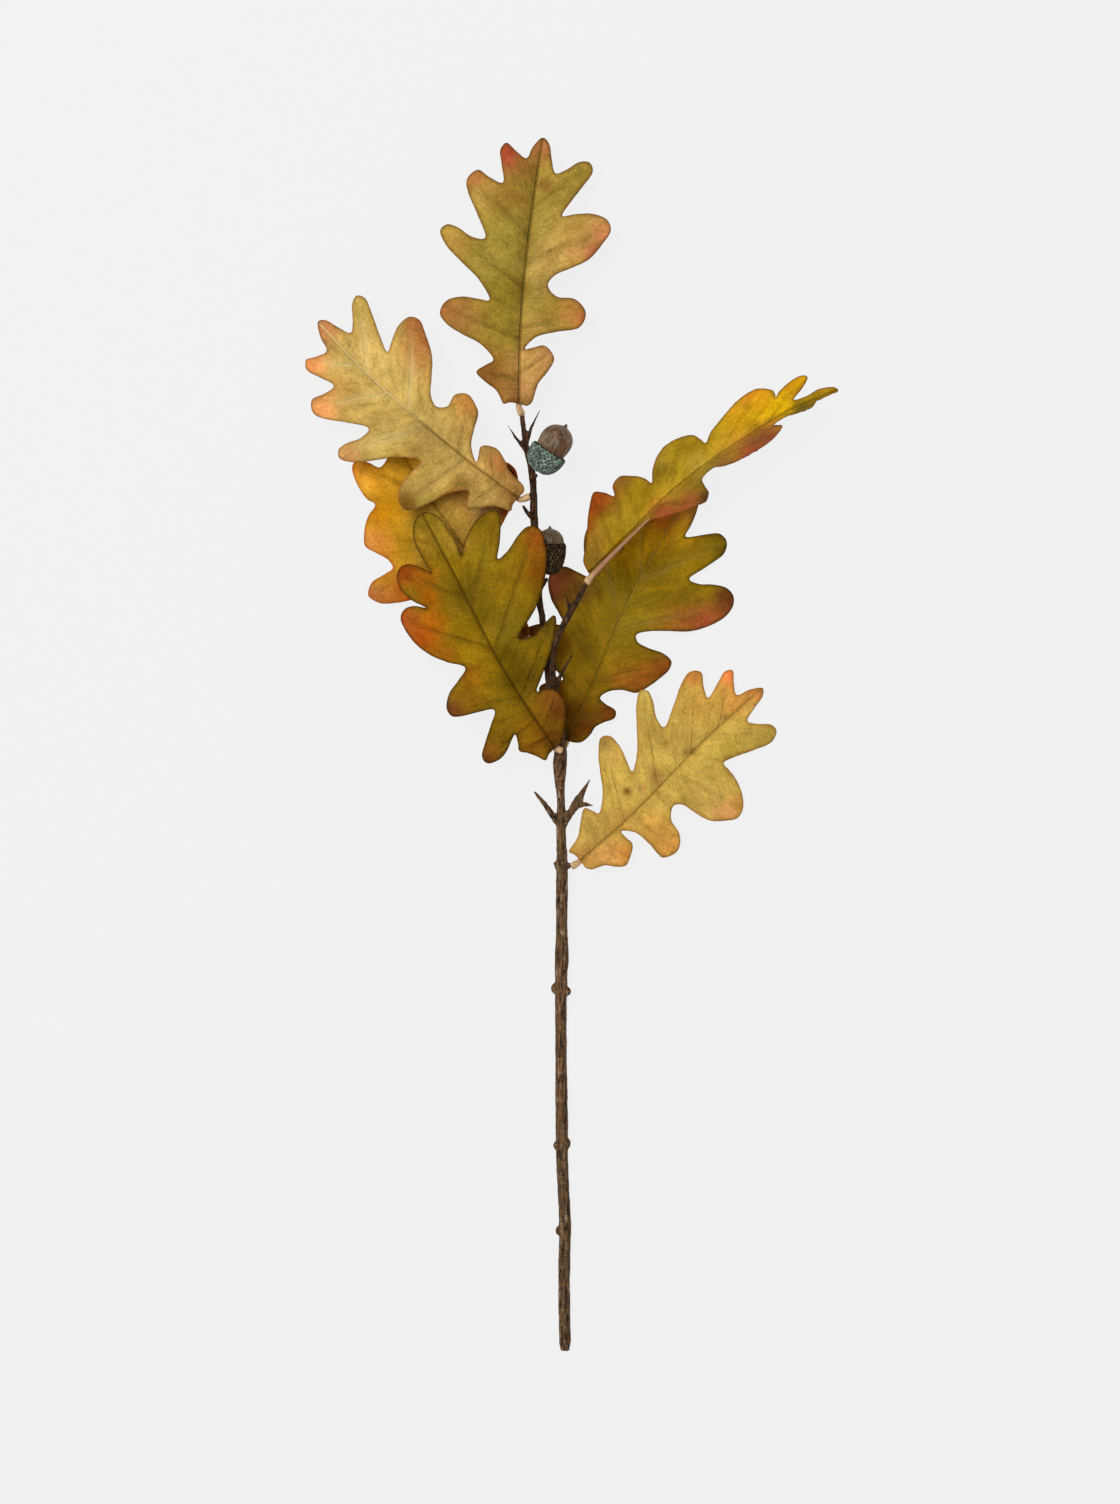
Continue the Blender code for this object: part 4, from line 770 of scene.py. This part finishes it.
def vein_pitch(points, w, out, roots, tips):
    """How far apart the veins run at each point, in mm."""
    index = np.arange(len(roots))
    ends = []
    for step in (-0.25, 0.25):
        at = np.clip(w + step, 0, len(roots) - 1)
        root = np.interp(at, index, roots)
        tip = np.column_stack([np.interp(at, index, tips[:, 0]), np.interp(at, index, tips[:, 1])])
        start = np.column_stack([np.zeros(len(at)), root])
        ends.append(start + (tip - start) * out[:, None])
    return np.clip(np.linalg.norm(ends[1] - ends[0], axis=1) * 2, 2, 60)


def pressed_relief(flat, w, out, seed):
    """How far the mould pushes the cloth up or down, in mm: sunk veins, puckers and slow waves."""
    by_midrib = np.clip(np.abs(flat[:, 0]) / FLAT_BY_MIDRIB, 0, 1)
    between = 1 - np.abs(2 * (w - np.round(w)))
    pucker = PUCKER * (1 - between**2) * by_midrib * np.clip(1.25 - out, 0, 1)
    sunk_midrib = -MIDRIB_DEPTH * np.exp(-((flat[:, 0] / MIDRIB_HALF_WIDTH) ** 2))
    slow = [noise.noise(Vector((x * 0.045, y * 0.045, seed))) for x, y in flat]
    crease = [noise.noise(Vector((x * 0.16, y * 0.1, seed + 9))) for x, y in flat]
    return pucker + sunk_midrib + by_midrib * (SLOW_WAVE * np.array(slow) + CREASE * np.array(crease))


def pressed_blade(name, seed):
    leaf = LEAVES[name]
    pattern = PATTERNS[leaf["pattern"]]
    flat, faces = flat_blade(pattern, MESH_RIM_STEP, MESH_INNER_STEP)
    shape = formed(leaf, flat)
    rim = smooth_path(outline_of(pattern), 1.0, closed=True)
    edge = np.array([np.hypot(rim[:, 0] - x, rim[:, 1] - y).min() for x, y in flat])
    sides = {}
    for side in ("left", "right"):
        roots, tips = fan_of(pattern, side)
        w, out = vein_coordinates(flat, roots, tips)
        sides[side] = (w, out, vein_pitch(flat, w, out, roots, tips))
    rise_left, rise_right = (pressed_relief(flat, *sides[side][:2], seed) for side in ("left", "right"))
    relief = np.where(flat[:, 0] < 0, rise_left, rise_right)
    blade = bmesh.new()
    verts = [blade.verts.new(p) for p in (placed(leaf, shape) - SPRAY_ORIGIN) * 0.001]
    for corners in faces:
        blade.faces.new([verts[i] for i in corners])
    blade.verts.index_update()
    bmesh.ops.recalc_face_normals(blade, faces=blade.faces)
    if sum(face.normal.z for face in blade.faces) < 0:
        bmesh.ops.reverse_faces(blade, faces=blade.faces)
    blade.normal_update()
    colours = print_and_painted_light_colours(name, shape[:, 0], shape[:, 1])
    print_and_painted_light_layer = blade.verts.layers.float_color.new("print_and_painted_light")
    for vert, rise, colour in zip(blade.verts, relief, colours):
        vert.co += vert.normal * rise * 0.001
        vert.co = [
            min(max(value, low + inset), high - inset)
            for value, low, high, inset in zip(vert.co, cad_low, cad_high, BOX_INSET)
        ]
        vert[print_and_painted_light_layer] = (*colour, 1)
    lay = blade.loops.layers.uv.new("lay")
    veins = blade.loops.layers.uv.new("veins")
    room = blade.loops.layers.uv.new("room")
    for face in blade.faces:
        ring = [loop.vert.index for loop in face.loops]
        w, out, pitch = sides["left" if flat[ring, 0].mean() < 0 else "right"]
        for loop, i in zip(face.loops, ring):
            loop[lay].uv = flat[i] * 0.01
            loop[veins].uv = (w[i], out[i])
            loop[room].uv = (pitch[i], edge[i])
    mesh = bpy.data.meshes.new(name.replace("leaf_", "blade_"))
    blade.to_mesh(mesh)
    blade.free()
    piece = new_piece(mesh.name, smooth_shaded(mesh), name)
    cloth = piece.modifiers.new("Cloth", "SOLIDIFY")
    cloth.thickness = CLOTH_THICKNESS
    cloth.offset = 0
    return piece


def cloth_finish(name, low_vein_tint, high_vein_tint, vein_strength, rim_tint, fold_shade, seed):
    """Printed cloth: soft veins, painted shade beside the midrib and a dark cut edge over the print with its
    painted light and shade, brushy mottling, and a fine weave.
    """
    finish = Finish("printed cloth " + name)
    lay = finish.node("UVMap", {"uv_map": "lay"})
    lay_mm = finish.node("VectorMath", {"operation": "MULTIPLY"}, lay, (100, 100, 100))
    lay_mm = finish.node("VectorMath", {"operation": "ADD"}, lay_mm, (seed * 37.0, seed * 11.0, 0))
    split = {"Vector": finish.node("UVMap", {"uv_map": "veins"})}
    w = finish.node("SeparateXYZ", None, out="X", **split)
    out = finish.node("SeparateXYZ", None, out="Y", **split)
    split = {"Vector": finish.node("UVMap", {"uv_map": "room"})}
    pitch = finish.node("SeparateXYZ", None, out="X", **split)
    edge = finish.node("SeparateXYZ", None, out="Y", **split)
    across = abs(finish.node("SeparateXYZ", None, out="X", Vector=lay)) * 100
    up_leaf = finish.node("SeparateXYZ", None, out="Y", Vector=lay)
    vein_tint = finish.blend(up_leaf.fade(0.5, 0.8), low_vein_tint, high_vein_tint)
    wobble = (finish.cloud(lay_mm, 0.16, 3.0) - 0.5) * 3.0
    broken = finish.cloud(lay_mm, 0.22, 3.0, 0.6).fade(0.34, 0.62)
    nearest = w.math("ROUND", w)
    from_vein = abs((w - nearest) * pitch + wobble)
    is_vein = nearest.fade(0.3, 0.6)
    from_between = (0.5 - abs(w - nearest)) * pitch
    reach = out.fade(0.95, 0.45) * is_vein
    main_vein = from_vein.fade(1.5, 0.15) * reach * (broken * 0.6 + 0.4)
    halo = from_vein.fade(4.5, 0.5) * reach
    side_vein = abs(from_between + wobble).fade(0.6, 0.1) * out.fade(0.75, 0.3) * broken
    midrib = across.fade(0.85, 0.25)
    beside = finish.node("SeparateXYZ", None, out="X", Vector=lay) * 100
    # Painted shade: a strip on the left of the midrib is darkened by fold_shade.
    shade_beside_midrib = beside.fade(-8, -0.6) * beside.fade(0.5, -0.3) * out.fade(1.2, 0.5)
    along_veins = finish.node("CombineXYZ", None, w * 5.5, out * 2.6, seed * 5.0)
    brush = finish.cloud(along_veins, 1.0, 6.0, 0.66, 0.9)
    net = finish.node("TexVoronoi", {"feature": "DISTANCE_TO_EDGE"}, Vector=lay_mm, Scale=0.3)
    net = net.fade(0.08, 0.01) * broken
    mottle = finish.cloud(lay_mm, 0.07, 6.0, 0.66, 0.5)
    grain = finish.cloud(lay_mm, 0.7, 6.0, 0.78)
    specks = finish.cloud(lay_mm, 0.26, 5.0, 0.75).fade(0.6, 0.74)
    # The print with its painted light and shade.
    base = finish.node("Attribute", {"attribute_name": "print_and_painted_light"}, out="Color")
    colour = finish.blend(mottle.fade(0.58, 0.34), base, (0.82, 0.8, 0.72), "MULTIPLY")
    colour = finish.blend(mottle.fade(0.48, 0.7), colour, (1.16, 1.16, 1.1), "MULTIPLY")
    colour = finish.blend(brush.fade(0.52, 0.34), colour, (0.8, 0.8, 0.72), "MULTIPLY")
    colour = finish.blend(brush.fade(0.52, 0.7), colour, (1.18, 1.18, 1.06), "MULTIPLY")
    colour = finish.blend(grain.fade(0.52, 0.36), colour, (0.74, 0.72, 0.64), "MULTIPLY")
    colour = finish.blend(grain.fade(0.53, 0.66), colour, (1.22, 1.2, 1.14), "MULTIPLY")
    colour = finish.blend(specks, colour, (0.8, 0.66, 0.6), "MULTIPLY")
    colour = finish.blend(net * 0.16, colour, vein_tint)
    colour = finish.blend(halo * vein_strength * 0.26, colour, vein_tint)
    colour = finish.blend(side_vein * vein_strength * 0.25, colour, vein_tint)
    colour = finish.blend(main_vein * vein_strength * 0.34, colour, vein_tint)
    colour = finish.blend(midrib * vein_strength * 0.75, colour, vein_tint)
    colour = finish.blend(shade_beside_midrib * fold_shade, colour, (0.4, 0.34, 0.26), "MULTIPLY")
    # Darker towards the cut edge, in a broad band with a ragged inner line.
    dark_edge_band = edge + (finish.cloud(lay_mm, 0.3, 4.0) - 0.5) * 1.6
    colour = finish.blend(dark_edge_band.fade(2.4, 0.3) * 0.42, colour, rim_tint)
    colour = finish.blend(edge.fade(0.8, 0.25) * 0.85, colour, rim_tint)
    weave = finish.node("TexWave", {"bands_direction": "X"}, Vector=lay_mm, Scale=0.5, Distortion=0.6)
    weft = finish.node("TexWave", {"bands_direction": "Y"}, Vector=lay_mm, Scale=0.5, Distortion=0.6)
    height = (weave + weft) * 0.05 + mottle * 1.2 + brush * 0.7 - main_vein * 1.2 - side_vein * 0.5
    height = height - midrib * 1.4 - net * 0.2
    return finish.set(
        Base_Color=colour, Roughness=mottle.fade(0.3, 0.7, 0.56, 0.7), Specular_IOR_Level=0.02,
        Normal=finish.relief(height, 0.0005, 0.9),
    )


# Each cloth: vein tints low and high on the leaf, how strongly veins show, rim tint, shade by the midrib.
CLOTHS = {
    "leaf_top": (daylight(112, 84, 34), daylight(104, 84, 22), 0.8, daylight(104, 62, 24), 0.5),
    "leaf_upper_left": (daylight(128, 96, 46), daylight(226, 202, 138), 0.8, daylight(140, 92, 44), 0.2),
    "leaf_rear_left": (daylight(90, 66, 16), daylight(150, 104, 20), 0.6, daylight(170, 84, 24), 0.1),
    "leaf_front_left": (daylight(70, 48, 10), daylight(86, 66, 18), 0.8, daylight(56, 36, 10), 0.3),
    "leaf_right": (daylight(120, 90, 30), daylight(158, 134, 62), 0.5, daylight(52, 36, 8), 0.1),
    "leaf_turned": (daylight(96, 76, 14), daylight(140, 110, 14), 0.6, daylight(120, 62, 20), 0.0),
    "leaf_lower_right": (daylight(160, 120, 54), daylight(176, 140, 62), 0.6, daylight(160, 108, 48), 0.15),
}
for seed, (name, tints) in enumerate(CLOTHS.items()):
    blade = pressed_blade(name, seed * 13.0)
    blade.data.materials.append(cloth_finish(name, *tints, seed))


# ---------------------------------------------------------------- leaf stalks
# Each blade is glued to a moulded stalk, a sleeve by the twig that thins to a rib under the midrib.
# The plastic is cream at the sleeve and is sprayed pinkish brown along the rib.
# Each stalk: how far its rib reaches, (aside, up) from the midrib, and where its sleeve starts, in mm.
SLEEVE_OVERLAP = 1.2
STALK_STEP = 0.8
RIB_STRIDE = 3
STALK_SIDES = 14
STALK_SHARES = (0, 0.015, 0.05, 0.07, 0.12, 1)
STALK_RADII = (1.5, 1.8, 1.8, 1.6, 1.35, 0.45)
STALKS = {
    "leaf_top": (50, (0, -2.2), (-20.7, 467.6, 25)),
    "leaf_upper_left": (50, (0, -2.2), (-17.6, 425.9, 25)),
    "leaf_rear_left": (44, (0, -2.2), (-14.6, 353.5, 14.5)),
    "leaf_front_left": (50, (0, -2.2), (-1.6, 300.6, 21)),
    "leaf_right": (50, (0, -2.3), (0.6, 302.8, 7.8)),
    "leaf_turned": (44, (1.9, 3.0), (12.1, 383.7, 45.5)),
    "leaf_lower_right": (50, (0, -2.2), (5.2, 242.9, 11.2)),
}


def stalk_mesh(name):
    leaf = LEAVES[name]
    reach, (aside, up), start = STALKS[name]
    rib = placed(leaf, smooth_path(leaf["midrib"], 1.0)[:reach])[::RIB_STRIDE]
    turn = math.radians(leaf["heading"])
    rib = rib + np.array([aside * math.cos(turn), -aside * math.sin(turn), up])
    back = np.array(start) - rib[0]
    mouth = start + back / np.linalg.norm(back) * SLEEVE_OVERLAP
    route = smooth_path(np.vstack([mouth, rib]), STALK_STEP) - SPRAY_ORIGIN
    share = np.linspace(0, 1, len(route))
    radii = np.interp(share, STALK_SHARES, STALK_RADII)
    ring = [(math.cos(a), math.sin(a)) for a in np.linspace(0, 2 * math.pi, STALK_SIDES, endpoint=False)]
    stalk = bmesh.new()
    far = stalk.verts.layers.float.new("far")
    loops = []
    for i, (centre, radius) in enumerate(zip(route, radii)):
        ahead = Vector(route[min(i + 1, len(route) - 1)] - route[max(i - 1, 0)])
        turned = ahead.to_track_quat("Z", "Y").to_matrix()
        spots = [Vector(centre) + turned @ Vector((c, s, 0)) * radius for c, s in ring]
        loops.append([stalk.verts.new(spot * 0.001) for spot in spots])
    for low, high in zip(loops, loops[1:]):
        for i in range(len(ring)):
            stalk.faces.new((low[i - 1], low[i], high[i], high[i - 1]))
    stalk.faces.new(loops[0][::-1])
    stalk.faces.new(loops[-1])
    bmesh.ops.recalc_face_normals(stalk, faces=stalk.faces)
    for i, loop in enumerate(loops):
        for vert in loop:
            vert[far] = i * STALK_STEP
    mesh = bpy.data.meshes.new(name.replace("leaf_", "stalk_"))
    stalk.to_mesh(mesh)
    stalk.free()
    return mesh


plastic = Finish("stalk plastic")
far = plastic.node("Attribute", {"attribute_name": "far"}, out="Fac")
cast = plastic.cloud(plastic.place(), 0.5, 4.0)
colour = plastic.blend(cast.fade(0.35, 0.65), daylight(206, 172, 124), daylight(176, 138, 92))
colour = plastic.blend(far.fade(3.0, 9.0), colour, daylight(160, 112, 82))
colour = plastic.blend(cast.fade(0.55, 0.7) * 0.6, colour, daylight(110, 74, 48))
plastic.set(
    Base_Color=colour, Roughness=0.5, Specular_IOR_Level=0.4, Normal=plastic.relief(cast, 0.0002, 0.6),
)
for name in STALKS:
    short = name.replace("leaf_", "stalk_")
    stalk = new_piece(short, smooth_shaded(stalk_mesh(name)), "leaf_" + short)
    stalk.data.materials.append(plastic.material)


# ---------------------------------------------------------------- acorns
# A moulded cup with rows of overlapping scales, painted shade in the hollows between them, its tips frosted
# grey green, and a turned nut glued in it.
# The nut is brown, streaked along its length, rubbed with the same frosting, and ends in a small point.
CUP_PROFILE = [
    (0, 0), (0.32, 0.03), (0.62, 0.16), (0.85, 0.4), (0.97, 0.72), (1, 0.98), (0.98, 1.12), (0.92, 1.15),
    (0.88, 1.08), (0.84, 0.75), (0.7, 0.4), (0.4, 0.2), (0, 0.14),
]
NUT_PROFILE = [
    (0, 0), (0.3, 0.08), (0.5, 0.32), (0.64, 0.6), (0.74, 0.9), (0.8, 1.2), (0.84, 1.5), (0.82, 1.8),
    (0.72, 2.06), (0.5, 2.3), (0.22, 2.43), (0.1, 2.48), (0.07, 2.57), (0.03, 2.62), (0, 2.63),
]
NUT_SEAT = 0.2
ACORNS = {
    "upper": {"foot": (-13.2, 438.2, 32.5), "axis": (0.54, 0.83, 0.1), "size": 9.8, "depth": 1.1},
    "lower": {"foot": (-6.5, 386.9, 30.6), "axis": (0, 1, 0.06), "size": 8.3, "depth": 1.66},
}
SCALE_ROWS = 9
SCALES_ROUND = 22
SCALE_DEPTH = 0.075
CUP_SIDES = 132
NUT_SIDES = 72


def turned_form(profile, steps):
    """The smooth (radius, along) profile spun once about the axis, its poles closed."""
    form = bmesh.new()
    verts = [form.verts.new((r, 0, a)) for r, a in profile]
    for low, high in zip(verts, verts[1:]):
        form.edges.new((low, high))
    bmesh.ops.spin(
        form, geom=form.verts[:] + form.edges[:], cent=(0, 0, 0), axis=(0, 0, 1), angle=2 * math.pi,
        steps=steps, use_merge=True, use_duplicate=False,
    )
    bmesh.ops.remove_doubles(form, verts=form.verts, dist=1e-5)
    bmesh.ops.recalc_face_normals(form, faces=form.faces)
    form.normal_update()
    return form


def scale_height(x, y, along):
    """How far the cup's overlapping scales stand up at a place on its outside, from 0 to 1."""
    stray = noise.noise(Vector((x * 4, y * 4, along * 4)))
    row = along * SCALE_ROWS / 1.12 + 0.45 * stray
    best = 0.0
    for k in (math.floor(row), math.floor(row) - 1):
        up_row = row - k
        round_cup = math.atan2(y, x) / (2 * math.pi) * SCALES_ROUND + 0.5 * (k % 2)
        turn = (round_cup + 0.5 * noise.noise(Vector((x * 3 + 9, y * 3, along * 5)))) % 1 - 0.5
        width = 1.15 - 0.34 * up_row
        lobe = max(0.0, 1 - (2 * turn / width) ** 2)
        if up_row < 1.7:
            best = max(best, lobe**0.5 * (0.35 + 0.65 * up_row / 1.7) * (0.85 + 0.3 * stray))
    return best


def stand_acorn(form, name, foot, axis, size):
    form.transform(Matrix.Scale(size * 0.001, 4))
    form.transform(Vector(axis).to_track_quat("Z", "Y").to_matrix().to_4x4())
    form.transform(Matrix.Translation((Vector(foot) - Vector(SPRAY_ORIGIN)) * 0.001))
    mesh = bpy.data.meshes.new(name)
    form.to_mesh(mesh)
    form.free()
    return smooth_shaded(mesh)


def cup_finish(name, body, tips, shade_and_crumbs):
    finish = Finish("acorn cup " + name)
    place = finish.place()
    stand = finish.node("Attribute", {"attribute_name": "stand"}, out="Fac")
    dusting = finish.cloud(place, 0.28, 4.0)
    crumbs = finish.cloud(place, 1.1, 5.0, 0.7)
    # Painted shade: the low parts between the scales take the dark colour.
    colour = finish.blend(stand.fade(0.15, 0.6), shade_and_crumbs, body)
    frosting = stand.fade(0.35, 0.9) * dusting.fade(0.36, 0.56) * crumbs.fade(0.34, 0.56)
    colour = finish.blend(frosting, colour, tips)
    colour = finish.blend(crumbs.fade(0.54, 0.66) * 0.7, colour, shade_and_crumbs)
    rough = finish.cloud(place, 3.0, 4.0)
    return finish.set(
        Base_Color=colour, Roughness=0.75, Specular_IOR_Level=0.12, Normal=finish.relief(rough, 0.0003, 0.8),
    )


def nut_finish(name, body, dark, frost):
    finish = Finish("acorn nut " + name)
    stand = finish.node("Attribute", {"attribute_name": "round"}, out="Vector")
    drawn_out = finish.node("VectorMath", {"operation": "MULTIPLY"}, stand, (5.5, 5.5, 0.5))
    streaks = finish.cloud(drawn_out, 1.6, 5.0, 0.65)
    drawn_fine = finish.node("VectorMath", {"operation": "MULTIPLY"}, stand, (14.0, 14.0, 1.4))
    fine = finish.cloud(drawn_fine, 1.4, 4.0, 0.6)
    clouds = finish.cloud(finish.place(), 0.16, 4.0)
    colour = finish.blend(streaks.fade(0.36, 0.62), dark, body)
    colour = finish.blend(clouds.fade(0.42, 0.62) * fine.fade(0.36, 0.66) * 0.8, colour, frost)
    tip = finish.node("SeparateXYZ", None, out="Z", Vector=stand)
    colour = finish.blend(tip.fade(2.3, 2.6) * 0.7, colour, dark)
    return finish.set(
        Base_Color=colour, Roughness=clouds.fade(0.35, 0.65, 0.34, 0.6), Specular_IOR_Level=0.3,
        Normal=finish.relief(fine + streaks, 0.00016, 0.6),
    )


# Each cup: body colour, frosted tips, and the dark colour of the painted shade between the scales and of the
# crumbs.
CUP_PAINTS = {
    "upper": (daylight(94, 108, 96), daylight(176, 198, 186), daylight(30, 24, 14)),
    "lower": (daylight(36, 22, 9), daylight(118, 94, 58), daylight(9, 5, 2)),
}
NUT_PAINTS = {
    "upper": (daylight(116, 84, 54), daylight(52, 30, 13), daylight(146, 138, 116)),
    "lower": (daylight(104, 86, 58), daylight(50, 36, 20), daylight(134, 126, 104)),
}
for name, place in ACORNS.items():
    outside = smooth_path(CUP_PROFILE[:8], 0.03)
    inside = smooth_path(CUP_PROFILE[7:], 0.08)[1:]
    cup = turned_form(np.vstack([outside, inside]), CUP_SIDES)
    stand = cup.verts.layers.float.new("stand")
    for vert in cup.verts:
        radius = math.hypot(vert.co.x, vert.co.y)
        on_outside = vert.normal.dot(Vector((vert.co.x, vert.co.y, vert.co.z - 0.9))) > 0
        if on_outside and radius > 0.05:
            rise = scale_height(vert.co.x, vert.co.y, vert.co.z)
            vert[stand] = rise
            vert.co -= vert.normal * SCALE_DEPTH * (1 - rise)
    for vert in cup.verts:
        vert.co.z *= place["depth"]
    foot = Vector(place["foot"])
    axis = Vector(place["axis"]).normalized()
    cup_piece = new_piece(
        "cup_" + name, stand_acorn(cup, "cup_" + name, foot, axis, place["size"]), "acorn_cup_" + name
    )
    cup_piece.data.materials.append(cup_finish(name, *CUP_PAINTS[name]))
    "acorn_cup_" + name

    nut = turned_form(smooth_path(NUT_PROFILE, 0.06), NUT_SIDES)
    around = nut.verts.layers.float_vector.new("round")
    for vert in nut.verts:
        vert[around] = vert.co
    seat = foot + axis * (NUT_SEAT * place["size"] * place["depth"])
    nut_piece = new_piece(
        "nut_" + name, stand_acorn(nut, "nut_" + name, seat, axis, place["size"]), "acorn_nut_" + name
    )
    nut_piece.data.materials.append(nut_finish(name, *NUT_PAINTS[name]))
    "acorn_nut_" + name
